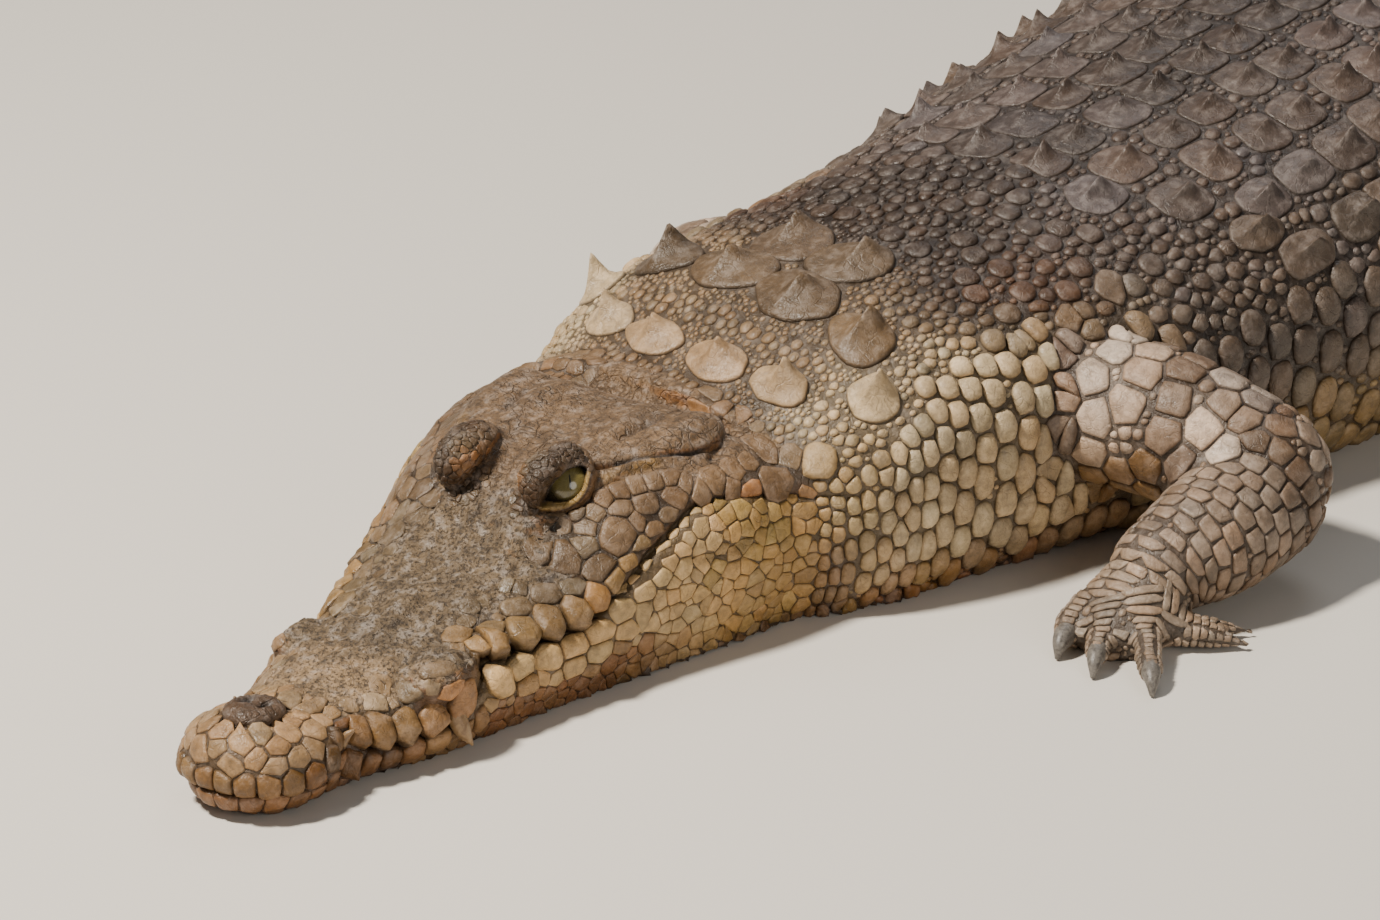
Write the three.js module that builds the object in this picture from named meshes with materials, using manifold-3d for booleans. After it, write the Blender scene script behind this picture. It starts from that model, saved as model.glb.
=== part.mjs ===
// A life-size crocodile lying on its belly. Millimetres, +X towards the snout, +Y its left, +Z up, floor at z = 0.
// Lengths along the animal are distances behind the snout tip, called "back" below.
import * as THREE from "three";
import { mergeVertices } from "three/addons/utils/BufferGeometryUtils.js";
import Module from "manifold-3d";

const wasm = await Module();
wasm.setup();

// Driving sizes.
const headEnd = 372; // back of the jaw, where the neck begins
const tailEnd = 2395;
const nodeGap = 0.3; // clearance between neighbouring nodes
const originBack = 800; // the belly mount, which is the origin
const originSide = 84;
const sideSteps = 7; // facets from the crest of the back to the widest point
const tailSteps = 4; // the same, on the tail
const underSteps = 3; // facets from the widest point to the belly's flat
const headStep = 2; // facets between two control points of a head section
const eyeRadius = 13;
const eyeBack = 245;
const eyeSide = 28;
const eyeHeight = 88.5;

// The midline seen from above, [x, y] from the snout tip: straight head, neck and trunk turned left, tail in an S.
const midlinePoints = [
  [0, 0], [-340, 0], [-400, 12], [-480, 34], [-600, 62], [-740, 80], [-900, 90], [-1050, 86], [-1200, 66],
  [-1350, 38], [-1520, 22], [-1700, 38], [-1880, 84], [-2050, 128], [-2200, 140], [-2370, 104],
];
const midline = new THREE.CatmullRomCurve3(
  midlinePoints.map(([x, y]) => new THREE.Vector3(x, y, 0)), false, "centripetal");
midline.arcLengthDivisions = 1200;
const midlineLength = midline.getLength();

// Neck, trunk and tail sections: back, half width, height, height of the widest point, half width of the belly flat,
// and how square the shoulders of the section are (lower is squarer).
const bodySections = [
  [366, 106, 104, 48, 90, 0.75],
  [395, 120, 120, 54, 100, 0.7],
  [430, 128, 134, 60, 106, 0.68],
  [480, 131, 142, 64, 108, 0.72],
  [530, 136, 150, 66, 110, 0.8],
  [600, 146, 160, 70, 118, 0.88],
  [680, 156, 171, 76, 126, 0.9],
  [770, 167, 182, 80, 134, 0.9],
  [860, 172, 188, 84, 136, 0.9],
  [950, 164, 185, 82, 128, 0.9],
  [1040, 146, 176, 78, 112, 0.9],
  [1120, 124, 164, 72, 90, 0.9],
  [1200, 104, 151, 66, 70, 0.9],
  [1300, 86, 137, 61, 54, 0.9],
  [1420, 70, 123, 55, 40, 0.9],
  [1560, 54, 108, 48, 28, 0.9],
  [1700, 41, 94, 42, 20, 0.95],
  [1850, 31, 80, 35, 14, 1],
  [2000, 22, 64, 28, 10, 1],
  [2150, 14, 46, 20, 7, 1],
  [2280, 8, 28, 12, 4, 1],
  [2395, 3, 10, 5, 2, 1],
];

// Head sections: back, top height, then [half width, height] of the crown edge, the cheek and the jaw,
// then half width and height of the underside.
const headSections = [
  [0.5, 32, 5, 32, 11, 24, 9, 15, 4, 9],
  [5, 38, 9, 37, 20, 26, 18, 15, 9, 6],
  [13, 42, 14, 40, 28, 28, 25, 14, 16, 2],
  [28, 43, 17, 41, 34, 29, 31, 12, 22, 0],
  [45, 43, 16, 40, 33, 29, 32, 12, 24, 0],
  [61, 42, 15, 39, 28, 31, 32, 14, 26, 0],
  [80, 44, 17, 41, 36, 29, 38, 14, 31, 0],
  [103, 47, 20, 44, 46, 30, 47, 14, 40, 0],
  [125, 50, 22, 47, 50, 33, 54, 15, 47, 0],
  [150, 55, 24, 51, 48, 42, 58, 18, 52, 0],
  [185, 62, 26, 59, 55, 45, 65, 21, 59, 0],
  [215, 76, 29, 74, 64, 52, 72, 25, 66, 0],
  [240, 90, 33, 91, 73, 60, 78, 29, 72, 0],
  [270, 98, 41, 99, 82, 68, 86, 34, 79, 0],
  [300, 101, 50, 102, 89, 72, 94, 38, 86, 0],
  [328, 100, 57, 101, 94, 72, 100, 42, 91, 0],
  [348, 95, 58, 91, 98, 68, 103, 42, 93, 0],
  [372, 101, 62, 91, 100, 64, 104, 42, 92, 0],
];

// Height of the line where the jaws meet, at distances behind the tip.
const lipLine = [
  [-30, 21], [0, 20], [20, 14], [40, 17], [61, 27], [76, 18], [95, 14], [112, 15], [128, 20], [141, 38], [158, 43],
  [176, 39], [196, 38], [212, 46], [232, 58], [255, 74], [278, 82], [305, 76], [340, 68], [420, 60],
];

// Teeth that show: [back, half width, length, root radius].
const upperTeeth = [[120, 55, 11, 4.2]];
const lowerTeeth = [[61, 31, 11, 3.4]];

const bodyBreaks = [headEnd, 500, 800, 1170, 1400, 1640, 1880, 2130, tailEnd];
const bodyNames = ["neck", "trunk_front", "trunk_rear", "tail_1", "tail_2", "tail_3", "tail_4", "tail_5"];

// Legs, for the animal's left side, as [x, y, z, radius] from the snout tip.
const foreLeft = {
  upper: [[-500, 140, 74, 38], [-514, 202, 70, 38], [-520, 254, 52, 37]],
  lower: [[-514, 258, 42, 34], [-468, 256, 37, 32], [-434, 248, 31, 25]],
  palm: [[-430, 247, 28, 23], [-414, 245, 17, 27], [-404, 244, 12, 24]],
  digits: [
    [[-406, 226, 14, 10], [-391, 224, 11, 9], [-382, 226, 8, 7]],
    [[-402, 238, 14, 9], [-386, 244, 11, 8], [-371, 250, 8, 6]],
    [[-410, 252, 14, 9], [-388, 268, 11, 8], [-367, 282, 8, 6]],
    [[-408, 260, 12, 10], [-420, 280, 9, 7.5], [-430, 299, 4, 2.6]],
    [[-410, 264, 11, 9], [-431, 279, 8, 6], [-446, 292, 3.5, 2.4]],
  ],
};
const foreRight = {
  upper: [[-520, -52, 70, 38], [-564, -96, 62, 37], [-602, -126, 48, 34]],
  lower: [[-600, -130, 44, 33], [-642, -142, 38, 31], [-676, -151, 31, 25]],
  palm: [[-680, -152, 28, 23], [-696, -156, 17, 27], [-706, -158, 12, 24]],
  digits: [
    [[-702, -172, 14, 10], [-718, -184, 11, 9], [-726, -191, 8, 7]],
    [[-710, -167, 14, 9], [-730, -174, 11, 8], [-746, -179, 8, 6]],
    [[-712, -157, 14, 9], [-738, -157, 11, 8], [-762, -156, 8, 6]],
    [[-704, -144, 12, 10], [-724, -134, 9, 7.5], [-740, -124, 4, 2.6]],
    [[-700, -141, 11, 9], [-712, -126, 8, 6], [-722, -113, 3.5, 2.4]],
  ],
};
const hindLeft = {
  upper: [[-1075, 150, 88, 56], [-1030, 226, 82, 46], [-1000, 284, 64, 36]],
  lower: [[-1004, 290, 56, 35], [-1052, 306, 46, 31], [-1104, 312, 30, 19]],
  palm: [[-1106, 312, 26, 20], [-1076, 324, 18, 20], [-1048, 334, 12, 20]],
  digits: [
    [[-1052, 321, 12, 9], [-1020, 314, 8, 8], [-994, 310, 6, 6]],
    [[-1046, 331, 12, 9], [-1010, 334, 8, 8], [-982, 337, 6, 6]],
    [[-1048, 342, 12, 9], [-1014, 355, 8, 8], [-990, 366, 6, 6]],
    [[-1058, 348, 11, 8], [-1034, 370, 8, 6], [-1016, 388, 4, 2.8]],
  ],
};
const hindRight = {
  upper: [[-1080, 26, 88, 56], [-1058, -54, 82, 46], [-1034, -114, 64, 36]],
  lower: [[-1038, -120, 56, 35], [-1090, -130, 46, 31], [-1144, -132, 30, 19]],
  palm: [[-1146, -132, 26, 20], [-1118, -146, 18, 20], [-1092, -158, 12, 20]],
  digits: [
    [[-1094, -145, 12, 9], [-1062, -138, 8, 8], [-1036, -134, 6, 6]],
    [[-1090, -156, 12, 9], [-1054, -160, 8, 8], [-1026, -164, 6, 6]],
    [[-1092, -166, 12, 9], [-1060, -182, 8, 8], [-1036, -194, 6, 6]],
    [[-1102, -172, 11, 8], [-1080, -195, 8, 6], [-1063, -214, 4, 2.8]],
  ],
};
const limbSides = 9;
const digitSides = 5;
const clawLength = 12;
const clawRadius = 4.2;
const clawStart = 2.6; // gap between a digit's blunt end and its claw's root

// Reads a table at a distance, with a smooth curve through its rows.
function tableRow(table, back) {
  const last = table.length - 1;
  let i = 0;
  while (i < last - 1 && back > table[i + 1][0]) {
    i += 1;
  }
  const before = table[Math.max(0, i - 1)];
  const from = table[i];
  const to = table[i + 1];
  const after = table[Math.min(last, i + 2)];
  const span = to[0] - from[0];
  const t = Math.min(1, Math.max(0, (back - from[0]) / span));
  return from.map((value, k) => {
    if (k === 0) {
      return back;
    }
    const slopeIn = ((to[k] - before[k]) / (to[0] - before[0])) * span;
    const slopeOut = ((after[k] - value) / (after[0] - from[0])) * span;
    return value * (2 * t ** 3 - 3 * t ** 2 + 1) + slopeIn * (t ** 3 - 2 * t ** 2 + t)
      + to[k] * (3 * t ** 2 - 2 * t ** 3) + slopeOut * (t ** 3 - t ** 2);
  });
}

function centreAt(back) {
  return midline.getPointAt(Math.min(1, back / midlineLength));
}

// The animal's left at a distance behind the tip.
function leftAt(back) {
  const along = midline.getTangentAt(Math.min(1, back / midlineLength));
  return new THREE.Vector3(along.y, -along.x, 0);
}

// Turns a half section, given from the crest to the underside, into a closed ring of points.
function ringOf(half, back) {
  const centre = centreAt(back);
  const left = leftAt(back);
  const place = (side, [width, height]) => centre.clone().addScaledVector(left, side * width).setZ(height);
  const leftSide = half.slice(1).map((p) => place(1, p));
  const rightSide = half.slice(1).map((p) => place(-1, p)).reverse();
  return [place(1, [0, half[0][1]]), ...leftSide, ...rightSide];
}

function bodyRing(back, grow = 0, upSteps = sideSteps) {
  const [, halfWidth, height, waist, flat, square] = tableRow(bodySections, back);
  const half = [];
  for (let k = 0; k <= upSteps; k += 1) {
    const turn = (k / upSteps) * (Math.PI / 2);
    const rise = Math.max(0, Math.cos(turn)) ** square;
    half.push([(halfWidth + grow) * Math.sin(turn), waist + (height + grow - waist) * rise]);
  }
  for (let k = 1; k <= underSteps; k += 1) {
    const turn = (k / underSteps) * (Math.PI / 2);
    const drop = k === underSteps ? grow : 0;
    half.push([flat + (halfWidth - flat) * Math.cos(turn) + grow, waist * (1 - Math.sin(turn)) - drop]);
  }
  return ringOf(half, back);
}

function headRing(back) {
  const row = tableRow(headSections, back);
  const controls = [[0, row[1]], [row[2], row[3]], [row[4], row[5]], [row[6], row[7]], [row[8], row[9]]];
  const curve = new THREE.CatmullRomCurve3(controls.map(([y, z]) => new THREE.Vector3(y, z, 0)), false, "centripetal");
  const steps = headStep * (controls.length - 1);
  const half = [];
  for (let k = 0; k <= steps; k += 1) {
    const p = curve.getPoint(k / steps);
    half.push([k === 0 ? 0 : p.x, Math.max(0, p.y)]);
  }
  return ringOf(half, back);
}

// A closed body through rings of equal size, each listed the same way round.
function loft(rings) {
  const size = rings[0].length;
  const points = rings.flat();
  const faces = [];
  for (let r = 0; r + 1 < rings.length; r += 1) {
    for (let k = 0; k < size; k += 1) {
      const a = r * size + k;
      const b = r * size + ((k + 1) % size);
      faces.push([a, b, b + size], [a, b + size, a + size]);
    }
  }
  const lastStart = (rings.length - 1) * size;
  for (const [start, flip] of [[0, true], [lastStart, false]]) {
    const hub = points.length;
    const ring = points.slice(start, start + size);
    points.push(ring.reduce((sum, p) => sum.add(p), new THREE.Vector3()).divideScalar(size));
    for (let k = 0; k < size; k += 1) {
      const next = (k + 1) % size;
      faces.push(flip ? [hub, start + next, start + k] : [hub, start + k, start + next]);
    }
  }
  return solidFrom(points, faces);
}

function solidFrom(points, faces) {
  const build = (list) => new wasm.Manifold(new wasm.Mesh({
    numProp: 3,
    vertProperties: new Float32Array(points.flatMap((p) => [p.x, p.y, p.z])),
    triVerts: new Uint32Array(list.flat()),
  }));
  const solid = build(faces);
  return solid.volume() > 0 ? solid : build(faces.map(([a, b, c]) => [a, c, b]));
}

function solidOf(geometry) {
  geometry.deleteAttribute("normal");
  geometry.deleteAttribute("uv");
  const merged = mergeVertices(geometry, 1e-4);
  return new wasm.Manifold(new wasm.Mesh({
    numProp: 3,
    vertProperties: merged.attributes.position.array,
    triVerts: new Uint32Array(merged.index.array),
  }));
}

function ellipsoid([x, y, z], [rx, ry, rz], around = 8, down = 5) {
  const geometry = new THREE.SphereGeometry(1, around, down);
  geometry.scale(rx, ry, rz);
  geometry.translate(x, y, z);
  return solidOf(geometry);
}

function box(from, to) {
  const size = to.map((v, i) => v - from[i]);
  const geometry = new THREE.BoxGeometry(...size);
  geometry.translate(...from.map((v, i) => v + size[i] / 2));
  return solidOf(geometry);
}

// A tube through [x, y, z, radius] stations, with rounded ends unless it is blunt.
// Flatten squeezes its sections towards the floor.
function tube(stations, sides, grow = 0, flatten = 1, blunt = false) {
  const points = stations.map(([x, y, z]) => new THREE.Vector3(x, y, z));
  const curve = new THREE.CatmullRomCurve3(points, false, "centripetal");
  const radii = stations.map((p) => p[3] + grow);
  const spans = stations.length - 1;
  const rings = [];
  const addRing = (centre, along, radius) => {
    const side = new THREE.Vector3(0, 0, 1).cross(along).normalize();
    const rise = along.clone().cross(side);
    const ring = [];
    for (let k = 0; k < sides; k += 1) {
      const turn = (k / sides) * 2 * Math.PI;
      ring.push(centre.clone().addScaledVector(side, radius * Math.cos(turn))
        .addScaledVector(rise, radius * flatten * Math.sin(turn)));
    }
    rings.push(ring);
  };
  const endCap = (t, radius, sign) => {
    const along = curve.getTangent(t);
    addRing(curve.getPoint(t).addScaledVector(along, sign * radius * 0.82), along, radius * 0.55);
  };
  if (!blunt) {
    endCap(0, radii[0], -1);
  }
  radii.forEach((radius, i) => addRing(curve.getPoint(i / spans), curve.getTangent(i / spans), radius));
  if (!blunt) {
    endCap(1, radii[spans], 1);
  }
  return loft(rings);
}

function cone(from, to, radius, tipRadius, sides = 7) {
  const start = new THREE.Vector3(...from);
  const end = new THREE.Vector3(...to);
  const along = end.clone().sub(start).normalize();
  const side = new THREE.Vector3(0.3, 0.9, 0.1).cross(along).normalize();
  const rise = along.clone().cross(side);
  const ring = (centre, r) => Array.from({ length: sides }, (_, k) => {
    const turn = (k / sides) * 2 * Math.PI;
    return centre.clone().addScaledVector(side, r * Math.cos(turn)).addScaledVector(rise, r * Math.sin(turn));
  });
  return loft([ring(start, radius), ring(end, tipRadius)]);
}

// One upright blade of the tail's crest, leaning back, on a base that sinks into the tail.
function crestBlade(back, offset, height, length) {
  const along = midline.getTangentAt(back / midlineLength);
  const left = leftAt(back);
  const [, halfWidth, top, waist] = tableRow(bodySections, back);
  const share = Math.min(0.95, Math.abs(offset) / halfWidth);
  const ground = waist + (top - waist) * Math.sqrt(1 - share ** 2);
  const lean = Math.sign(offset) * height * 0.25;
  const corner = (run, side, z) => centreAt(back).addScaledVector(along, run).addScaledVector(left, offset + side).setZ(z);
  const lower = ground - 7;
  const ring = (thick, from, to, z, shift) => [
    corner(from, shift - thick, z), corner(to, shift - thick, z), corner(to, shift + thick, z), corner(from, shift + thick, z),
  ];
  return loft([ring(2.6, -length * 0.5, length * 0.5, lower, 0), ring(0.8, -length * 0.3, length * 0.05, ground + height, lean)]);
}

const floorCut = box([-2600, -800, 0], [200, 900, 600]);
const onFloor = (solid) => solid.intersect(floorCut);

// Neck, trunk and tail.
function bodyStations(from, to) {
  const list = [from];
  let step = 34;
  for (let back = from + step * 0.6; back < to - step * 0.5; back += step) {
    list.push(back);
    step = back > 1200 ? 54 : 40;
  }
  list.push(to);
  return list;
}

const crest = [];
for (let back = 1215; back < 1655; back += 38) {
  const share = (back - 1215) / 440;
  crest.push({ back, offset: 52 - 44 * share, height: 9 + 12 * share, length: 26 });
  crest.push({ back, offset: -52 + 44 * share, height: 9 + 12 * share, length: 26 });
}
for (let back = 1672; back < 2330; back += 34) {
  const share = (back - 1672) / 660;
  crest.push({ back, offset: 0, height: 25 - 16 * share, length: 25 - 6 * share });
}

const solids = new Map();
bodyNames.forEach((name, i) => {
  const from = bodyBreaks[i] + nodeGap / 2;
  const to = bodyBreaks[i + 1] - nodeGap / 2;
  const blades = crest.filter((b) => b.back - b.length / 2 > from + 1 && b.back + b.length / 2 < to - 1)
    .map((b) => crestBlade(b.back, b.offset, b.height, b.length));
  const flesh = loft(bodyStations(from, to).map((back) => bodyRing(back, 0, name.startsWith("tail") ? tailSteps : sideSteps)));
  solids.set(name, onFloor(blades.length ? wasm.Manifold.union([flesh, ...blades]) : flesh));
});
// The body grown by the clearance, with its ends run into each other, for cutting the legs clear of it.
const bodyKeepOut = wasm.Manifold.union(bodyNames.slice(0, 4).map((name, i) => {
  const backs = bodyStations(bodyBreaks[i] + nodeGap / 2, bodyBreaks[i + 1] - nodeGap / 2);
  backs[0] -= nodeGap;
  backs[backs.length - 1] += nodeGap;
  return loft(backs.map((back) => bodyRing(back, nodeGap + 0.2, name.startsWith("tail") ? tailSteps : sideSteps)));
}));

// Head.
const both = [-1, 1];
const headBacks = [];
for (let i = 0; i + 1 < headSections.length; i += 1) {
  const from = headSections[i][0];
  const to = headSections[i + 1][0];
  headBacks.push(from, ...(to - from > 29 ? [(from + to) / 2] : []));
}
headBacks.push(headEnd - nodeGap / 2);
const headShell = loft(headBacks.map((back) => headRing(back)));
const headLumps = both.flatMap((side) => [
  ellipsoid([-240, side * 25, 95], [25, 13, 15]), // brow
  ellipsoid([-120, side * 41, 37], [22, 15, 12]), // swelling over the largest tooth
]);
const nostrilDisc = ellipsoid([-29, 0, 42], [17, 15, 6.5]);
const behindHead = loft([headEnd - nodeGap / 2, headEnd + 60].map((back) => bodyRing(back, 80)));
const headWhole = onFloor(wasm.Manifold.union([headShell, nostrilDisc, ...headLumps])).subtract(behindHead);

const tableValue = (table, back) => tableRow(table, back)[1];
function jawPrism(above, shift) {
  const shape = new THREE.Shape();
  const line = lipLine.map(([back, height]) => [-back, height + shift]);
  const far = above ? 260 : -60;
  shape.moveTo(line[0][0], far);
  line.forEach(([x, z]) => shape.lineTo(x, z));
  shape.lineTo(line[line.length - 1][0], far);
  const geometry = new THREE.ExtrudeGeometry(shape, { depth: 400, bevelEnabled: false });
  geometry.rotateX(Math.PI / 2);
  geometry.translate(0, 200, 0);
  return solidOf(geometry);
}

const tooth = ([back, halfWidth, length, radius], side, rise, grow) => {
  const lip = tableValue(lipLine, back);
  const root = [-back, side * (halfWidth - 4), lip + (rise < 0 ? 8 : -8)];
  const tip = [-back, side * (halfWidth + 0.5), lip + rise * length];
  return cone(root, tip, radius + grow, 0.6 + grow, 4);
};
const toothSet = (list, rise, grow) => both.flatMap((side) => list.map((t) => tooth(t, side, rise, grow)));

const sockets = both.map((side) => ellipsoid([-eyeBack, side * eyeSide, eyeHeight],
  [eyeRadius + nodeGap, eyeRadius + nodeGap, eyeRadius + nodeGap], 10, 7));
const upperRaw = headWhole.intersect(jawPrism(true, nodeGap / 2));
const lowerRaw = headWhole.intersect(jawPrism(false, -nodeGap / 2));
const largest = (solid) => solid.decompose().sort((a, b) => b.volume() - a.volume())[0];
solids.set("head_upper", largest(wasm.Manifold.union([upperRaw, ...toothSet(upperTeeth, -1, 0)])
  .subtract(wasm.Manifold.union([...sockets, ...toothSet(lowerTeeth, 1, nodeGap)]))));
solids.set("jaw_lower", largest(onFloor(wasm.Manifold.union([lowerRaw, ...toothSet(lowerTeeth, 1, 0)])
  .subtract(wasm.Manifold.union(toothSet(upperTeeth, -1, nodeGap))))));
both.forEach((side) => {
  solids.set(side > 0 ? "eye_left" : "eye_right",
    ellipsoid([-eyeBack, side * eyeSide, eyeHeight], [eyeRadius, eyeRadius, eyeRadius], 10, 7));
});

// Legs, feet and claws. Each piece is cut clear of the one it grows from.
function addLeg(place, side, leg, clawed) {
  const foot = place === "fore" ? "forefoot" : "hindfoot";
  const clear = nodeGap + 0.1;
  const upper = (grow) => tube(leg.upper, limbSides, grow);
  const lower = (grow) => tube(leg.lower, limbSides, grow);
  const sole = (grow) => wasm.Manifold.union([
    tube(leg.palm, 7, grow, 0.72), ...leg.digits.map((d) => tube(d, digitSides, grow, 0.92, true)),
  ]);
  solids.set(`${place}leg_${side}_upper`, largest(onFloor(upper(0)).subtract(bodyKeepOut)));
  solids.set(`${place}leg_${side}_lower`, largest(onFloor(lower(0)).subtract(upper(clear)).subtract(bodyKeepOut)));
  const claws = leg.digits.slice(0, clawed).map((d) => {
    const [x, y, z] = d[2];
    const along = new THREE.Vector3(x - d[1][0], y - d[1][1], 0).normalize();
    const root = [x + along.x * clawStart, y + along.y * clawStart, z];
    const tip = [x + along.x * clawLength, y + along.y * clawLength, 1.2];
    return cone(root, tip, clawRadius, 0.7, 5);
  });
  const footSolid = onFloor(sole(0)).subtract(wasm.Manifold.union([lower(clear), upper(clear), bodyKeepOut]));
  solids.set(`${foot}_${side}`, largest(footSolid));
  claws.forEach((c, i) => solids.set(`claw_${place}_${side}_${i + 1}`, onFloor(c)));
}
addLeg("fore", "left", foreLeft, 3);
addLeg("fore", "right", foreRight, 3);
addLeg("hind", "left", hindLeft, 3);
addLeg("hind", "right", hindRight, 3);

const finishes = {
  hide: { color: 0x8f7d62, roughness: 0.75, metalness: 0 },
  eye: { color: 0x8a7a2c, roughness: 0.15, metalness: 0 },
  claw: { color: 0x4d4640, roughness: 0.5, metalness: 0 },
};
const group = new THREE.Group();
for (const [name, solid] of solids) {
  const { vertProperties, triVerts } = solid.getMesh();
  const geometry = new THREE.BufferGeometry();
  geometry.setAttribute("position", new THREE.BufferAttribute(new Float32Array(vertProperties), 3));
  geometry.setIndex(new THREE.BufferAttribute(new Uint32Array(triVerts), 1));
  geometry.translate(originBack, -originSide, 0);
  geometry.computeVertexNormals();
  const kind = name.startsWith("eye") ? "eye" : name.startsWith("claw") ? "claw" : "hide";
  const mesh = new THREE.Mesh(geometry, new THREE.MeshStandardMaterial(finishes[kind]));
  mesh.name = name;
  group.add(mesh);
}

export default group;
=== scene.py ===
# Life-size crocodile: one skin over the solids, with scales, crest, eyes, teeth and claws as pieces of their own.
import math
import time
import bmesh
import bpy
import numpy as np
from mathutils import Matrix, Vector, noise
from mathutils.bvhtree import BVHTree
from mathutils.kdtree import KDTree


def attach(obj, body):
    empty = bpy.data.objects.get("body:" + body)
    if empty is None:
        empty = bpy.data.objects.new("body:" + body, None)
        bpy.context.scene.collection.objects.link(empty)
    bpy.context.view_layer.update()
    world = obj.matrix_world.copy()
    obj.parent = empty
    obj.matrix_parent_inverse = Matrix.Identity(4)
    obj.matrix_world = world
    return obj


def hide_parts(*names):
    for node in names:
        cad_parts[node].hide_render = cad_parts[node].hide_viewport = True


started = time.time()
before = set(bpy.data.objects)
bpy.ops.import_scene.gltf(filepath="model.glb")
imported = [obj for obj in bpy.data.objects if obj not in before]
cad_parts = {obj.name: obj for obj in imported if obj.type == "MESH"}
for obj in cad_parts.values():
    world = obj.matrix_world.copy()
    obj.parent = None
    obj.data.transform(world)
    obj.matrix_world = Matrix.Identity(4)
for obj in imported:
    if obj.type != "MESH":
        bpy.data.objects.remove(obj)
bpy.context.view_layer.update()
rng = np.random.default_rng(11)
mm = 0.001
# Shapes are worked out in millimetres from the snout's tip, as the solids are, then moved to the frame's origin.
snoutTip = np.array([800.0, -84.0, 0.0])


def report(stage):
    print(f"{stage}: {time.time() - started:.1f} s")


def toFrame(points):
    return (np.asarray(points, float) + snoutTip) * mm


def fromFrame(points):
    return np.asarray(points, float) / mm - snoutTip


def lengthsOf(vectors):
    return np.linalg.norm(vectors, axis=-1)


# ---- camera, lights and floor
view = {"azimuth": 33.4, "elevation": 22.0, "distance": 3.5, "lens": 188.63, "target": (-238.0, 0.0, 0.0),
        "slideRight": 86.4, "slideUp": 90.8}
lamps = {
    "keyLight": {"place": (1.75, -0.9, 2.65), "aim": (0.2, 0, 0), "size": 0.4, "power": 190.0,
                 "colour": (1.0, 0.93, 0.83)},
    "fillLight": {"place": (1.9, 3.0, 1.3), "aim": (0.3, 0, 0), "size": 2.0, "power": 36.0,
                  "colour": (1.0, 0.96, 0.9)},
    "rimLight": {"place": (-1.8, -0.6, 2.4), "aim": (-0.2, 0, 0), "size": 1.4, "power": 16.0,
                 "colour": (0.93, 0.96, 1.0)},
}
room = {"light": 0.15, "lightColour": (0.86, 0.88, 0.9, 1), "floorSize": 9.0, "floorColour": (0.66, 0.62, 0.56, 1),
        "floorRoughness": 0.9}


def makeView():
    az, el = math.radians(view["azimuth"]), math.radians(view["elevation"])
    back = Vector((math.cos(el) * math.cos(az), math.cos(el) * math.sin(az), math.sin(el)))
    right = Vector((-math.sin(az), math.cos(az), 0))
    up = back.cross(right)
    aim = Vector(toFrame(view["target"])) + right * view["slideRight"] * mm + up * view["slideUp"] * mm
    data = bpy.data.cameras.new("camera")
    data.lens, data.sensor_width, data.clip_end = view["lens"], 36.0, 60.0
    cam = bpy.data.objects.new("camera", data)
    cam.matrix_world = Matrix((right, up, back)).transposed().to_4x4()
    cam.location = aim + back * view["distance"]
    bpy.context.scene.collection.objects.link(cam)
    bpy.context.scene.camera = cam


def areaLight(name, place, aim, size, power, colour):
    data = bpy.data.lights.new(name, "AREA")
    data.shape, data.size, data.energy, data.color = "DISK", size, power, colour
    lamp = bpy.data.objects.new(name, data)
    lamp.location = place
    lamp.rotation_euler = (Vector(aim) - Vector(place)).to_track_quat("-Z", "Y").to_euler()
    bpy.context.scene.collection.objects.link(lamp)


def newMaterial(name):
    material = bpy.data.materials.new(name)
    material.use_nodes = True
    return material, material.node_tree, material.node_tree.nodes["Principled BSDF"]


def makeStage():
    for name, lamp in lamps.items():
        areaLight(name, **lamp)
    world = bpy.data.worlds.new("studio")
    world.use_nodes = True
    world.node_tree.nodes["Background"].inputs["Color"].default_value = room["lightColour"]
    world.node_tree.nodes["Background"].inputs["Strength"].default_value = room["light"]
    bpy.context.scene.world = world
    bm = bmesh.new()
    bmesh.ops.create_grid(bm, x_segments=2, y_segments=2, size=room["floorSize"])
    mesh = bpy.data.meshes.new("floor")
    bm.to_mesh(mesh)
    bm.free()
    floor = bpy.data.objects.new("floor", mesh)
    bpy.context.scene.collection.objects.link(floor)
    material, _, shader = newMaterial("paleFloor")
    shader.inputs["Base Color"].default_value = room["floorColour"]
    shader.inputs["Roughness"].default_value = room["floorRoughness"]
    mesh.materials.append(material)


makeView()
makeStage()
report("camera and lights")

# ---- tables of the animal's form, as in the solids
midline = np.array([
    [0, 0], [340, 0], [400, 12], [480, 34], [600, 62], [740, 80], [900, 90], [1050, 86], [1200, 66],
    [1350, 38], [1520, 22], [1700, 38], [1880, 84], [2050, 128], [2200, 140], [2370, 104]], float)
bodySections = np.array([
    [366, 106, 104, 48, 90, 0.75], [395, 120, 120, 54, 100, 0.7], [430, 128, 134, 60, 106, 0.68],
    [480, 131, 142, 64, 108, 0.72], [530, 136, 150, 66, 110, 0.8], [600, 146, 160, 70, 118, 0.88],
    [680, 156, 171, 76, 126, 0.9], [770, 167, 182, 80, 134, 0.9], [860, 172, 188, 84, 136, 0.9],
    [950, 164, 185, 82, 128, 0.9], [1040, 146, 176, 78, 112, 0.9], [1120, 124, 164, 72, 90, 0.9],
    [1200, 104, 151, 66, 70, 0.9], [1300, 86, 137, 61, 54, 0.9], [1420, 70, 123, 55, 40, 0.9],
    [1560, 54, 108, 48, 28, 0.9], [1700, 41, 94, 42, 20, 0.95], [1850, 31, 80, 35, 14, 1], [2000, 22, 64, 28, 10, 1],
    [2150, 14, 46, 20, 7, 1], [2280, 8, 28, 12, 4, 1], [2395, 3, 10, 5, 2, 1]], float)
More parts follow.
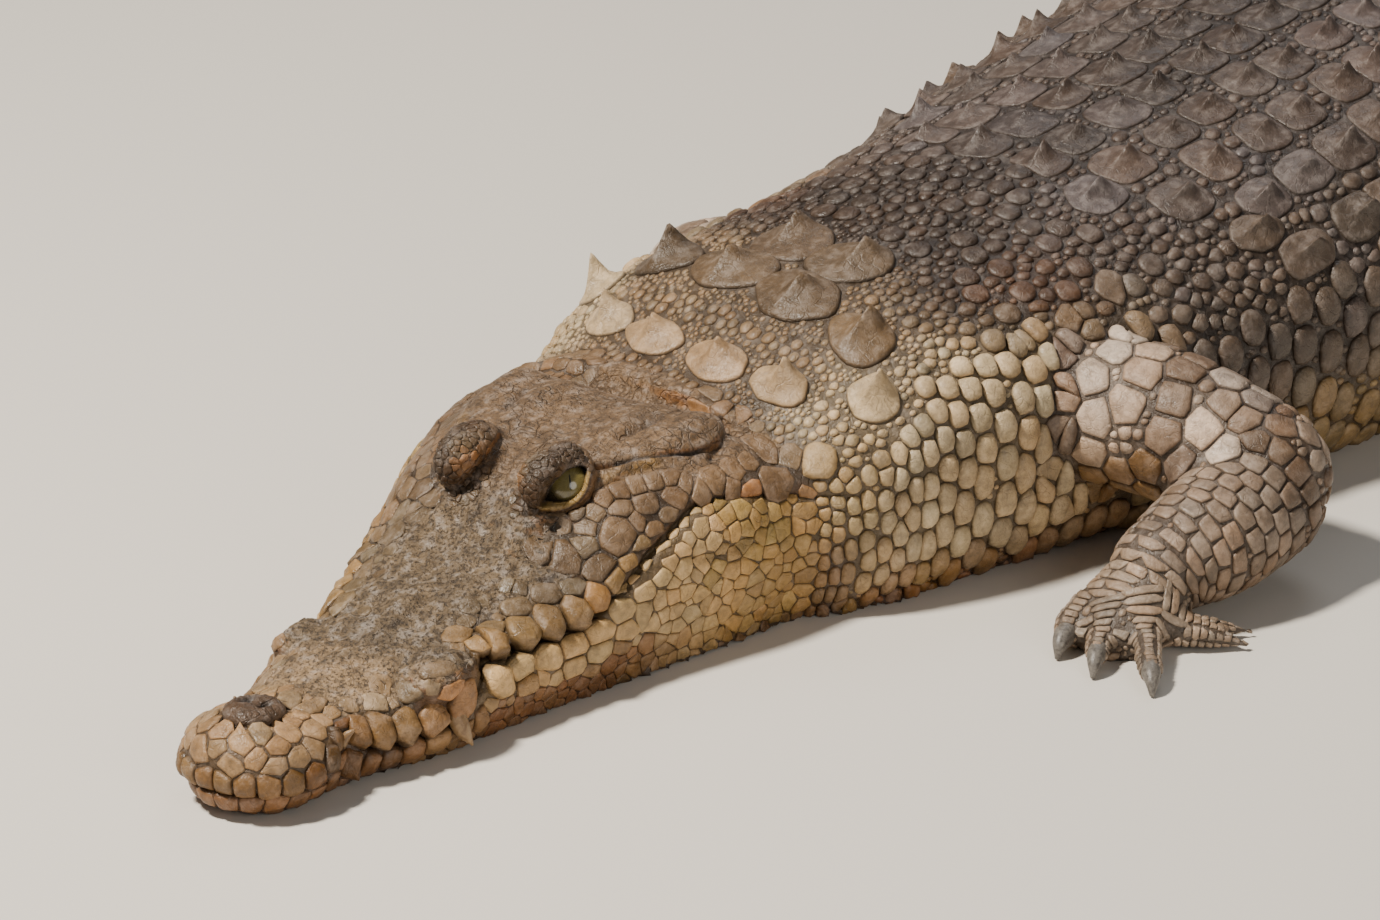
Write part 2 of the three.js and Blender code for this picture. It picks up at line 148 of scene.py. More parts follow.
headSections = np.array([
    [0.5, 32, 5, 32, 11, 24, 9, 15, 4, 9], [5, 38, 9, 37, 20, 26, 18, 15, 9, 6],
    [13, 42, 14, 40, 28, 28, 25, 14, 16, 2], [28, 43, 17, 41, 34, 29, 31, 12, 22, 0],
    [45, 43, 16, 40, 33, 29, 32, 12, 24, 0], [61, 42, 15, 39, 28, 31, 32, 14, 26, 0],
    [80, 44, 17, 41, 36, 29, 38, 14, 31, 0], [103, 47, 20, 44, 46, 30, 47, 14, 40, 0],
    [125, 50, 22, 47, 50, 33, 54, 15, 47, 0], [150, 55, 24, 51, 48, 42, 58, 18, 52, 0],
    [185, 62, 26, 59, 55, 45, 65, 21, 59, 0], [215, 76, 29, 74, 64, 52, 72, 25, 66, 0],
    [240, 90, 33, 91, 73, 60, 78, 29, 72, 0], [270, 98, 41, 99, 82, 68, 86, 34, 79, 0],
    [300, 101, 50, 102, 89, 72, 94, 38, 86, 0], [328, 100, 57, 101, 94, 72, 100, 42, 91, 0],
    [348, 95, 58, 91, 98, 68, 103, 42, 93, 0], [372, 101, 62, 91, 100, 64, 104, 42, 92, 0]], float)
lipLine = np.array([
    [-30, 15.5], [0, 15], [10, 14.5], [20, 14], [32, 15], [43, 18], [52, 23], [61, 26], [70, 20], [80, 17], [95, 15],
    [112, 16], [126, 20], [136, 29], [146, 37], [158, 38], [176, 37], [196, 37], [211, 41], [226, 48], [234, 52],
    [241, 57], [248, 62], [261, 68], [271, 73], [283, 77], [297, 77], [310, 75], [330, 70], [350, 65], [420, 58]],
    float)
legs = {
    "foreLeft": {
        "upper": [[-500, 140, 74, 38], [-514, 202, 70, 38], [-520, 254, 52, 37]],
        "lower": [[-514, 258, 42, 34], [-468, 256, 37, 32], [-434, 248, 31, 25]],
        "palm": [[-430, 247, 28, 23], [-414, 245, 17, 27], [-404, 244, 12, 24]],
        "digits": [[[-406, 226, 14, 10], [-391, 224, 11, 9], [-382, 226, 8, 7]],
                   [[-402, 238, 14, 9], [-386, 244, 11, 8], [-371, 250, 8, 6]],
                   [[-410, 252, 14, 9], [-388, 268, 11, 8], [-367, 282, 8, 6]],
                   [[-408, 260, 12, 10], [-420, 280, 9, 7.5], [-430, 299, 4, 2.6]],
                   [[-410, 264, 11, 9], [-431, 279, 8, 6], [-446, 292, 3.5, 2.4]]]},
    "foreRight": {
        "upper": [[-520, -52, 70, 38], [-564, -96, 62, 37], [-602, -126, 48, 34]],
        "lower": [[-600, -130, 44, 33], [-642, -142, 38, 31], [-676, -151, 31, 25]],
        "palm": [[-680, -152, 28, 23], [-696, -156, 17, 27], [-706, -158, 12, 24]],
        "digits": [[[-702, -172, 14, 10], [-718, -184, 11, 9], [-726, -191, 8, 7]],
                   [[-710, -167, 14, 9], [-730, -174, 11, 8], [-746, -179, 8, 6]],
                   [[-712, -157, 14, 9], [-738, -157, 11, 8], [-762, -156, 8, 6]],
                   [[-704, -144, 12, 10], [-724, -134, 9, 7.5], [-740, -124, 4, 2.6]],
                   [[-700, -141, 11, 9], [-712, -126, 8, 6], [-722, -113, 3.5, 2.4]]]},
    "hindLeft": {
        "upper": [[-1075, 150, 88, 56], [-1030, 226, 82, 46], [-1000, 284, 64, 36]],
        "lower": [[-1004, 290, 56, 35], [-1052, 306, 46, 31], [-1104, 312, 30, 19]],
        "palm": [[-1106, 312, 26, 20], [-1076, 324, 18, 20], [-1048, 334, 12, 20]],
        "digits": [[[-1052, 321, 12, 9], [-1020, 314, 8, 8], [-994, 310, 6, 6]],
                   [[-1046, 331, 12, 9], [-1010, 334, 8, 8], [-982, 337, 6, 6]],
                   [[-1048, 342, 12, 9], [-1014, 355, 8, 8], [-990, 366, 6, 6]],
                   [[-1058, 348, 11, 8], [-1034, 370, 8, 6], [-1016, 388, 4, 2.8]]]},
    "hindRight": {
        "upper": [[-1080, 26, 88, 56], [-1058, -54, 82, 46], [-1034, -114, 64, 36]],
        "lower": [[-1038, -120, 56, 35], [-1090, -130, 46, 31], [-1144, -132, 30, 19]],
        "palm": [[-1146, -132, 26, 20], [-1118, -146, 18, 20], [-1092, -158, 12, 20]],
        "digits": [[[-1094, -145, 12, 9], [-1062, -138, 8, 8], [-1036, -134, 6, 6]],
                   [[-1090, -156, 12, 9], [-1054, -160, 8, 8], [-1026, -164, 6, 6]],
                   [[-1092, -166, 12, 9], [-1060, -182, 8, 8], [-1036, -194, 6, 6]],
                   [[-1102, -172, 11, 8], [-1080, -195, 8, 6], [-1063, -214, 4, 2.8]]]},
}
bodySteps = {"up": 18, "down": 8}


def readTable(table, at):
    # smooth curve through a table's rows, for many distances at once
    at = np.asarray(at, float)
    last = len(table) - 1
    i = np.clip(np.searchsorted(table[:, 0], at) - 1, 0, last - 1)
    before, start, end, after = table[np.maximum(i - 1, 0)], table[i], table[i + 1], table[np.minimum(i + 2, last)]
    span = (end[..., 0] - start[..., 0])[..., None]
    t = np.clip((at[..., None] - start[..., :1]) / span, 0, 1)
    slopeIn = (end - before) / np.maximum(end[..., :1] - before[..., :1], 1e-9) * span
    slopeOut = (after - start) / np.maximum(after[..., :1] - start[..., :1], 1e-9) * span
    value = (start * (2 * t**3 - 3 * t**2 + 1) + slopeIn * (t**3 - 2 * t**2 + t)
             + end * (3 * t**2 - 2 * t**3) + slopeOut * (t**3 - t**2))
    return value[..., 1:]


# distance along the midline against the straight distance behind the tip
straightBack = np.linspace(0, 2372, 2400)
midSide = readTable(midline, straightBack)[:, 0]
midRun = np.concatenate([[0], np.cumsum(np.hypot(np.diff(straightBack), np.diff(midSide)))])


def midPoint(run):
    back = np.interp(run, midRun, straightBack)
    side = np.interp(run, midRun, midSide)
    ahead, behind = np.clip(run - 3, 0, None), run + 3
    dx = np.interp(behind, midRun, straightBack) - np.interp(ahead, midRun, straightBack)
    dy = np.interp(behind, midRun, midSide) - np.interp(ahead, midRun, midSide)
    length = np.hypot(dx, dy)
    # the animal's left, for a midline running towards -X
    left = np.stack([dy / length, dx / length], -1)
    return np.stack([-back, side], -1), left


def ringPoints(run, half):
    # half: [..., k, (width, height)] from the crest down; the ring runs down the left side and up the right
    centre, left = midPoint(run)
    side = np.concatenate([half, half[..., :0:-1, :] * [-1, 1]], -2)
    flat = centre[..., None, :] + left[..., None, :] * side[..., :1]
    return np.concatenate([flat, side[..., 1:]], -1)


def bodyHalf(run):
    width, height, waist, flat, square = np.moveaxis(readTable(bodySections, run), -1, 0)
    turn = np.linspace(0, math.pi / 2, bodySteps["up"] + 1)
    up = np.stack([width[:, None] * np.sin(turn),
                   waist[:, None] + (height - waist)[:, None] * np.clip(np.cos(turn), 0, 1) ** square[:, None]], -1)
    turn = np.linspace(0, math.pi / 2, bodySteps["down"] + 1)[1:]
    down = np.stack([flat[:, None] + (width - flat)[:, None] * np.cos(turn), waist[:, None] * (1 - np.sin(turn))], -1)
    return np.concatenate([up, down], 1)


def throughPoints(points, count):
    # centripetal Catmull-Rom curve through points of shape [..., n, d], count samples to each span
    points = np.asarray(points, float)
    first, last = 2 * points[..., :1, :] - points[..., 1:2, :], 2 * points[..., -1:, :] - points[..., -2:-1, :]
    p = np.concatenate([first, points, last], -2)
    gap = np.sqrt(np.maximum(lengthsOf(np.diff(p, axis=-2)), 1e-6))
    pieces = []
    for i in range(1, p.shape[-2] - 2):
        a, b, c, d = (p[..., i + k, :] for k in (-1, 0, 1, 2))
        g0, g1, g2 = (gap[..., i + k, None] for k in (-1, 0, 1))
        m1 = ((b - a) / g0 - (c - a) / (g0 + g1) + (c - b) / g1) * g1
        m2 = ((c - b) / g1 - (d - b) / (g1 + g2) + (d - c) / g2) * g1
        for k in range(count):
            t = k / count
            pieces.append(b * (2 * t**3 - 3 * t**2 + 1) + m1 * (t**3 - 2 * t**2 + t)
                          + c * (3 * t**2 - 2 * t**3) + m2 * (t**3 - t**2))
    pieces.append(points[..., -1, :])
    return np.stack(pieces, -2)


def headHalf(run, steps=6):
    rows = readTable(headSections, run)
    controls = np.stack([np.stack([0 * rows[:, 0], rows[:, 0]], -1)]
                        + [rows[:, k:k + 2] for k in (1, 3, 5, 7)], 1)
    half = throughPoints(controls, steps)
    half[:, 0, 0] = 0
    half[..., 1] = np.maximum(half[..., 1], 0)
    return half


def newMesh(name, bm=None):
    mesh = bpy.data.meshes.new(name)
    if bm:
        bm.to_mesh(mesh)
        bm.free()
    piece = bpy.data.objects.new(name, mesh)
    bpy.context.scene.collection.objects.link(piece)
    return piece


def addTube(bm, rings):
    # a grid bent through rings [stations, around, 3], welded along its seam and closed at its ends
    rings = np.asarray(rings, float)
    stations, around = rings.shape[:2]
    made = bmesh.ops.create_grid(bm, x_segments=stations - 1, y_segments=around, size=1.0)["verts"]
    for v in made:
        i = int(round((v.co.x + 1) / 2 * (stations - 1)))
        j = int(round((v.co.y + 1) / 2 * around)) % around
        v.co = rings[i, j]
    bmesh.ops.remove_doubles(bm, verts=made, dist=1e-7)
    keep = [v for v in made if v.is_valid]
    ends = [e for e in {e for v in keep for e in v.link_edges} if e.is_boundary]
    capped = bmesh.ops.holes_fill(bm, edges=ends, sides=0)["faces"]
    faces = list({f for v in keep for f in v.link_faces} | set(capped))
    bmesh.ops.recalc_face_normals(bm, faces=faces)


def limbRings(stations, sides=20, flatten=1.0, along=8):
    path = throughPoints(np.array(stations, float), along)
    centres, radii = path[:, :3], path[:, 3]
    tangent = np.gradient(centres, axis=0)
    tangent /= lengthsOf(tangent)[:, None]
    caps = np.radians([80, 62, 40, 20])
    startCap = [(centres[0] - tangent[0] * radii[0] * math.sin(c), tangent[0], radii[0] * math.cos(c)) for c in caps]
    endCap = [(centres[-1] + tangent[-1] * radii[-1] * math.sin(c), tangent[-1], radii[-1] * math.cos(c))
              for c in caps[::-1]]
    rows = startCap + list(zip(centres, tangent, radii)) + endCap
    turn = np.linspace(0, 2 * math.pi, sides, endpoint=False)
    rings = []
    for centre, ahead, radius in rows:
        side = np.cross([0, 0, 1], ahead)
        side /= np.linalg.norm(side)
        rise = np.cross(ahead, side)
        rings.append(centre + radius * (np.cos(turn)[:, None] * side + flatten * np.sin(turn)[:, None] * rise))
    return np.array(rings)


def addBall(bm, centre, radii):
    place = Matrix.LocRotScale(Vector(toFrame(centre)), None, Vector(radii) * mm)
    bmesh.ops.create_icosphere(bm, subdivisions=4, radius=1.0, matrix=place)


# ---- the skin's base form
skinLook = {"voxel": 3.0, "coatDepth": 1.6, "smoothing": 12, "headEnd": 352.0, "bodyTriangles": 42000}
eyeShape = {"back": 245.0, "side": 28.0, "height": 88.5, "radius": 13.0}
eyeCentre = np.array([eyeShape["back"], eyeShape["side"], eyeShape["height"]])


def baseForm():
    bm = bmesh.new()
    runs = np.concatenate([np.arange(352, 1400, 12.0), np.arange(1400, 2390, 9.0), [2394.0]])
    addTube(bm, toFrame(ringPoints(runs, bodyHalf(runs))))
    runs = np.concatenate([[0.5, 1.5, 3, 5, 8], np.arange(12, 372, 5.0), [372.0]])
    addTube(bm, toFrame(ringPoints(runs, headHalf(runs))))
    for side in (1, -1):
        addBall(bm, (-240, side * 25, 95), (25, 13, 15))
        addBall(bm, (-120, side * 41, 37), (22, 15, 12))
    addBall(bm, (-29, 0, 42), (17, 15, 6.5))
    for leg in legs.values():
        addTube(bm, toFrame(limbRings(leg["upper"])))
        addTube(bm, toFrame(limbRings(leg["lower"])))
        addTube(bm, toFrame(limbRings(leg["palm"], flatten=0.72)))
        for digit in leg["digits"]:
            addTube(bm, toFrame(limbRings(digit, sides=12, flatten=0.92, along=4)))
            x, y, z, radius = digit[0]
            addBall(bm, (x, y, z + 1), [radius + 1] * 3)
    return newMesh("hide", bm)


def evaluated(piece):
    graph = bpy.context.evaluated_depsgraph_get()
    mesh = bpy.data.meshes.new_from_object(piece.evaluated_get(graph))
    piece.modifiers.clear()
    piece.data = mesh


def coordsOf(mesh):
    co = np.empty(len(mesh.vertices) * 3, np.float32)
    mesh.vertices.foreach_get("co", co)
    return co.reshape(-1, 3).astype(float)


def shadeSmooth(mesh):
    mesh.polygons.foreach_set("use_smooth", np.ones(len(mesh.polygons), bool))


def normalsOf(mesh):
    no = np.empty(len(mesh.vertices) * 3, np.float32)
    mesh.vertices.foreach_get("normal", no)
    return no.reshape(-1, 3).astype(float)


def setCoords(mesh, co):
    mesh.vertices.foreach_set("co", np.ascontiguousarray(co, np.float32).ravel())
    mesh.update()


def edgesOf(mesh):
    edges = np.empty(len(mesh.edges) * 2, np.int32)
    mesh.edges.foreach_get("vertices", edges)
    return edges.reshape(-1, 2)


def relax(co, edges, rounds):
    # each round smooths, then swells back as far
    count = len(co)
    degree = np.bincount(edges.ravel(), minlength=count)[:, None].clip(1)
    a, b = edges[:, 0], edges[:, 1]
    for _ in range(rounds):
        for pull in (0.5, -0.53):
            total = np.stack([np.bincount(a, co[b, k], count) + np.bincount(b, co[a, k], count) for k in range(3)], 1)
            co = co + pull * (total / degree - co)
    return co


def treeOf(points):
    tree = KDTree(len(points))
    for i, p in enumerate(points.tolist()):
        tree.insert(p, i)
    tree.balance()
    return tree


def stepUp(value, low, high):
    t = np.clip((value - low) / (high - low), 0, 1)
    return t * t * (3 - 2 * t)


def gauss(x, width):
    return np.exp(-(x / width) ** 2)


def lipHeight(back):
    return readTable(lipLine, np.asarray(back, float))[..., 0]


def bothSides(points):
    # distance behind the snout's tip, out to either side and up, apart and as rows
    back, side, height = -points[:, 0], np.abs(points[:, 1]), points[:, 2]
    return back, side, height, np.stack([back, side, height], 1)


def toPath(points, path):
    # distance of each point from a run of straight stretches
    best = np.full(len(points), 1e9)
    for a, b in zip(path[:-1], path[1:]):
        a, b = np.array(a, float), np.array(b, float)
        t = np.clip(((points - a) @ (b - a)) / ((b - a) @ (b - a)), 0, 1)
        best = np.minimum(best, lengthsOf(points - a - t[:, None] * (b - a)))
    return best


# Folds of the head as depth, width and the places they run through, and swellings as their place, half sizes and
# height. Places are distances behind the snout's tip, to the side and up, and each is made on both sides.
folds = [
    (4.2, 1.35, [(258, 37, 96), (266, 43, 95), (276, 48, 95.5), (288, 56, 95), (300, 63, 94), (312, 67, 94),
                (320, 67, 95)]),
    (2.2, 1.2, [(250, 43, 88.5), (259, 48, 90), (270, 52, 91.5), (283, 57, 93)]),
    (2.6, 2.2, [(283, 34, 102), (308, 38, 102.5), (330, 38, 100)]),
    (4.6, 3, [(345, 0, 97), (347, 27, 96), (345, 48, 93), (336, 61, 93), (320, 68, 94), (309, 70, 91)]),
    (2.2, 2, [(222, 21, 80), (230, 14, 92), (243, 12, 99), (257, 16, 101)]),
    (0.9, 3, [(262, 5, 99), (285, 4, 101), (320, 6, 101)]),
    (1.2, 4, [(205, 12, 72), (180, 10, 63), (140, 9, 55)]),
    (4.6, 2.2, [(58, 29, 36), (60, 33, 25), (61, 32, 14)]),
    (1.6, 5, [(58, 29, 36), (64, 20, 41), (70, 10, 44)]),
    (2.4, 4, [(215, 30, 76), (224, 36, 78), (230, 44, 76)]),
    (1.8, 1, [(213, 27, 74), (222, 25, 84), (232, 26, 93)]),
    (1.4, 0.9, [(216, 33, 71), (225, 31, 81), (233, 31, 89)]),
    (2.2, 1.5, [(247, 73, 60), (258, 78, 57), (274, 85, 54), (288, 89, 53), (302, 93, 55)]),
    (0.9, 1, [(292, 62, 101), (300, 60, 100), (309, 61, 97)]),
    (2.2, 2.6, [(130, 50, 45), (137, 47, 50), (143, 40, 53)]),
    (3, 2, [(128, 57, 30), (134, 56, 24), (137, 56, 16)]),
]
earSlit, darkFolds = 0, (1, 2, 3, 7, 10, 11, 12, 15)
swellings = [
    ((303, 52, 98.5), (27, 12, 8), 4.6), ((327, 54, 97), (15, 11, 8), 3), ((302, 27, 103), (38, 6.5, 8), 2.8),
    ((266, 46.5, 93), (17, 6, 3.6), 3.2), ((346, 92, 75), (20, 14, 8), 3.6), ((318, 92, 80), (22, 14, 6), 1.6),
    ((236, 60, 74), (22, 12, 9), 2), ((205, 24, 73), (22, 6, 8), 2.4), ((172, 24, 60), (16, 7, 8), 2),
    ((190, 40, 60), (18, 10, 10), 1.6), ((150, 0, 56), (22, 9, 8), 1.4), ((96, 22, 44), (20, 8, 8), 1.2),
    ((218, 24, 80), (9, 7, 7), 2.2), ((300, 82, 62), (34, 12, 12), 2.4), ((298, 74, 83), (22, 8, 6), 2.2),
    ((8, 0, 30), (8, 22, 9), 1.2),
]
# the eye's opening, from its front corner over the top and back underneath, along and up across its own direction
eyeOpening = np.array([(-10.2, -7.4), (-7.6, -0.6), (-2.8, 4.6), (1.1, 7.7), (5.9, 9.6), (8.8, 9.0), (9.9, 7.2),
                       (9.3, 3.4), (7.6, -1.7), (3.4, -6.0), (-2.8, -7.8), (-10.2, -7.4)])
lids = {"stand": 1.2, "lower": 1.7, "lowerWidth": 1.7, "crease": 2.6}
eyeOut = Vector((0.774, 0.510, 0.375)).normalized()
eyeAlong = Vector((-0.55, 0.835, 0.0)).normalized()
eyeUp = eyeOut.cross(eyeAlong).normalized()
eyeLoop = throughPoints(eyeOpening, 5)


def eyeCoords(points):
    # coordinates along the lids, up across them and out of the head, from either eye's centre
    local = points.astype(float)
    local[:, 1] = np.abs(local[:, 1])
    local = local - eyeCentre * [-1, 1, 1]
    return local @ np.array(eyeAlong), local @ np.array(eyeUp), local @ np.array(eyeOut)


def openingGap(along, up):
    # distance from the edge of the opening, less than nothing inside it
    p = np.stack([along, up], 1)
    best, inside = np.full(len(p), 1e9), np.zeros(len(p), bool)
    for a, b in zip(eyeLoop[:-1], eyeLoop[1:]):
        t = np.clip(((p - a) @ (b - a)) / ((b - a) @ (b - a)), 0, 1)
        best = np.minimum(best, lengthsOf(p - a - t[:, None] * (b - a)))
        crossing = (a[1] > p[:, 1]) != (b[1] > p[:, 1])
        inside ^= crossing & (p[:, 0] < (b[0] - a[0]) * (p[:, 1] - a[1]) / (b[1] - a[1] + 1e-9) + a[0])
    return np.where(inside, -best, best)


def lidStand(along, up, widen=0.66):
    # how far the lids stand out, along the eye's own direction
    reach = (eyeShape["radius"] + lids["stand"]) ** 2 - widen * (along**2 + up**2)
    return np.sqrt(np.maximum(reach, 0))


def belowEye(along, up):
    return stepUp(0.74 * along - up, -1.0, 3.0)


nostrilPad = {"back": 31.0, "long": 17.5, "wide": 14.5}


def onPadAt(back, side):
    # 0 in the middle of the nostrils' pad, 1 at its edge
    return np.hypot((back - nostrilPad["back"]) / nostrilPad["long"], side / nostrilPad["wide"])


def fieldNoise(points, scale, seed, octaves=3):
    shift = Vector((seed * 7.31, seed * 3.7, seed * 1.9))
    return np.array([noise.fractal(Vector(p) * scale + shift, 0.8, 2.1, octaves) for p in points])


def sculptHead(co, no):
    # co in millimetres from the snout's tip
    back, side, height, flipped = bothSides(co)
    push = np.zeros(len(co))
    fade = np.clip((skinLook["headEnd"] + 18 - back) / 18, 0, 1)
    for depth, width, path in folds:
        push -= depth * gauss(toPath(flipped, path), width)
    for place, halves, rise in swellings:
        far = lengthsOf((flipped - place) / halves)
        push += rise * np.exp(-far**2 * 1.6)
    # line of the mouth, deepest along the teeth
    gap = height - lipHeight(back)
    sideways = np.clip((0.93 - np.abs(no[:, 2])) * 6, 0, 1) * (height > 2)
    corner = np.clip((292 - back) / 30, 0, 1)
    lip = 1.6 * gauss(gap - 5.5, 4.5) * corner * stepUp(-back, -250, -215)
    lip += 1.0 * gauss(gap + 5.5, 4.5) * corner * stepUp(-back, -240, -200)
    front = stepUp(-back, -70, -40)
    lip -= (4.6 * corner + 2.2 * (1 - corner)) * gauss(gap, 1.25 + 0.6 * corner) * (1 - 0.55 * front)
    push += lip * sideways
    # nostrils on their round pad
    pad = onPadAt(back, side)
    top = (height > 36) & (back < 62)
    push += top * (1.7 * gauss(pad - 0.62, 0.3) - 2.6 * gauss(pad - 1.04, 0.09) - 0.6 * (pad < 0.2))
    turn = np.arctan2(side, back - 31)
    push -= top * 0.45 * gauss(pad - 0.72, 0.22) * (0.5 + 0.5 * np.cos(turn * 17))
    across = side - 5.0 - 0.02 * (back - 33) ** 2
    push -= top * 5.5 * gauss(across, 1.9) * gauss(back - 33, 4.4)
    # rugged bone over the snout, smoother on the crown and the cheeks
    onSnout = stepUp(back, 52, 72) * stepUp(-back, -240, -215) * stepUp(no[:, 2], 0.05, 0.5)
    rough = (0.5 - np.abs(fieldNoise(co, 0.17, 2))) * 1.5 + fieldNoise(co, 0.075, 1) * 1.5
    rough += (0.45 - np.abs(fieldNoise(co, 0.36, 3, 2))) * 1.0
    near = lengthsOf(flipped - eyeCentre)
    calm = 1 - 0.75 * gauss(near, 22) - 0.4 * (back > 255)
    push += rough * (0.22 + 0.85 * onSnout) * (height > 4) * calm
    # the right side's bulge over the big tooth is weaker
    far = lengthsOf((co - [-122, -54, 38]) / [36, 18, 18])
    push -= 10.5 * np.exp(-far**2 * 1.2)
    co = co + no * (push * fade * (height > 0.6))[:, None]
    # lids: skin stands round the eyeball and drops behind it inside the opening
    along, up, out = eyeCoords(co)
    gap = openingGap(along, up)
    side = np.where(co[:, 1] < 0, -1.0, 1.0)
    mirror = np.stack([np.ones(len(co)), side, np.ones(len(co))], 1)
    way = np.array(eyeOut)[None] * mirror
    rim = np.nonzero((np.abs(gap) < 0.62) & (out > 0) & (np.hypot(along, up) < 20))[0]
    slopeAlong = (openingGap(along[rim] + 0.3, up[rim]) - gap[rim]) / 0.3
    slopeUp = (openingGap(along[rim], up[rim] + 0.3) - gap[rim]) / 0.3
    shift = 0.3 - gap[rim]
    co[rim] += mirror[rim] * (np.array(eyeAlong)[None] * (slopeAlong * shift)[:, None]
                              + np.array(eyeUp)[None] * (slopeUp * shift)[:, None])
    along, up, out = eyeCoords(co)
    gap = openingGap(along, up)
    facing = (no * way).sum(1)
    stand, below = lidStand(along, up), belowEye(along, up)
    stand = stand * (1 - stepUp(gap, 0, 4)) + np.maximum(stand, out) * stepUp(gap, 0, 4)
    stand += below * (lids["lower"] * gauss(gap - 2.2, lids["lowerWidth"]) - lids["crease"] * gauss(gap - 5.6, 0.9))
    stand += (1 - below) * (0.8 * gauss(gap - 0.8, 0.9) - 0.8 * gauss(gap - 3.2, 0.6) - 0.6 * gauss(gap - 5.6, 0.5)
                            + 0.9 * gauss(gap - 7.5, 3.0))
    join = 1 - stepUp(gap, 4.5, 15.0)
    wanted = out * (1 - join) + stand * join
    well = np.sqrt(np.maximum(eyeShape["radius"] ** 2 - along**2 - up**2, 0)) - 3.4
    wanted = np.where(gap < 0, np.minimum(well, stand), wanted)
    apply = (gap < 15) & (out > -2) & (facing > 0.0) & (np.abs(along) < 28) & (np.abs(up) < 28)
    return co + way * np.where(apply, wanted - out, 0)[:, None]


def fineZone(points):
    # places on the head that need the closest mesh: lids, ear slit, nostrils and the line of the mouth
    back, side, height, flipped = bothSides(points)
    eye = lengthsOf(flipped - eyeCentre) < 26
    ear = toPath(flipped, folds[earSlit][2]) < 7
    mouth = (np.abs(height - lipHeight(back)) < 3.2) & (back < 300)
    nostril = (np.hypot(back - 31, side) < 19) & (height > 34)
    return eye | ear | mouth | nostril


def makeSkin():
    piece = baseForm()
    shell = piece.modifiers.new("shell", "REMESH")
    shell.mode, shell.voxel_size, shell.use_smooth_shade = "VOXEL", skinLook["voxel"] * mm, True
    evaluated(piece)
    mesh = piece.data
    report(f"voxel skin, {len(mesh.vertices)} points")
    co, edges = coordsOf(mesh), edgesOf(mesh)
    co = relax(co, edges, skinLook["smoothing"])
    low = co[:, 2] < 0.0012
    co[:, 2] = np.where(low, 0.0, np.maximum(co[:, 2], 0))
    setCoords(mesh, co)
    # thin out everything but the head and feet
    group = piece.vertex_groups.new(name="thin")
    snout = fromFrame(co)
    feet = np.zeros(len(co), bool)
    for leg in legs.values():
        for station in leg["palm"] + [d[1] for d in leg["digits"]]:
            feet |= lengthsOf(snout - station[:3]) < 34
    thin = (~feet & (snout[:, 0] < -(skinLook["headEnd"] + 6))) | (snout[:, 2] < 0.5)
    group.add([int(i) for i in np.nonzero(thin)[0]], 1.0, "REPLACE")
    share = thin.mean()
    total = 2 * len(mesh.polygons)
    wanted = (total * (1 - share) + skinLook["bodyTriangles"]) / total
    fewer = piece.modifiers.new("fewer", "DECIMATE")
    fewer.ratio, fewer.vertex_group, fewer.use_collapse_triangulate = min(1.0, wanted), "thin", False
    evaluated(piece)
    mesh = piece.data
    piece.vertex_groups.clear()
    report(f"thinned skin, {len(mesh.polygons)} faces")
    # finer head
    bm = bmesh.new()
    bm.from_mesh(mesh)
    limit = snoutTip[0] * mm - skinLook["headEnd"] * mm
    fine = [e for e in bm.edges if all(v.co.x > limit and v.co.z > 0.0015 for v in e.verts)]
    bmesh.ops.subdivide_edges(bm, edges=fine, cuts=1, use_grid_fill=True)
    bmesh.ops.triangulate(bm, faces=[f for f in bm.faces if len(f.verts) > 4])
    bm.verts.ensure_lookup_table()
    close = fineZone(fromFrame(np.array([v.co[:] for v in bm.verts])))
    close &= np.array([v.co.z > 0.0015 and v.co.x > limit for v in bm.verts])
    fine = [e for e in bm.edges if all(close[v.index] for v in e.verts)]
    bmesh.ops.subdivide_edges(bm, edges=fine, cuts=1, use_grid_fill=True)
    bmesh.ops.triangulate(bm, faces=[f for f in bm.faces if len(f.verts) > 4])
    bm.to_mesh(mesh)
    bm.free()
    co, edges = coordsOf(mesh), edgesOf(mesh)
    co = relax(co, edges, 3)
    setCoords(mesh, co)
    co, no = fromFrame(co), normalsOf(mesh)
    isHead = co[:, 0] > -(skinLook["headEnd"] + 22)
    down = np.clip((co[:, 2] - 1.0) / 4, 0, 1)
    co = co - no * (skinLook["coatDepth"] * np.where(isHead, 0.3, 1.0) * down)[:, None]
    co[isHead] = sculptHead(co[isHead], no[isHead])
    co[:, 2] = np.maximum(co[:, 2], 0)
    setCoords(mesh, toFrame(co))
    shadeSmooth(mesh)
    report(f"sculpted skin, {sum(len(p.vertices) - 2 for p in mesh.polygons)} triangles")
    return piece


skin = makeSkin()
skinCo = fromFrame(coordsOf(skin.data))
skinNo = normalsOf(skin.data)

# ---- how the body and limbs lie under any point of the skin
limbKinds = ["upper", "lower", "palm", "digit"]


def limbTable():
    rows = []
    for index, leg in enumerate(legs.values()):
        run = 0.0
        for kind in ("upper", "lower", "palm"):
            for a, b in zip(leg[kind][:-1], leg[kind][1:]):
                length = math.dist(a[:3], b[:3])
                rows.append([*a, *b, index, limbKinds.index(kind), run, length, 0])
                run += length
        for k, digit in enumerate(leg["digits"]):
            inner = 0.0
            for a, b in zip(digit[:-1], digit[1:]):
                length = math.dist(a[:3], b[:3])
                rows.append([*a, *b, index, 3, run + inner, length, k])
                inner += length
    return np.array(rows, float)


limbRows = limbTable()
limbStart, limbEnd = limbRows[:, 0:3], limbRows[:, 4:7]
limbSpan = limbEnd - limbStart


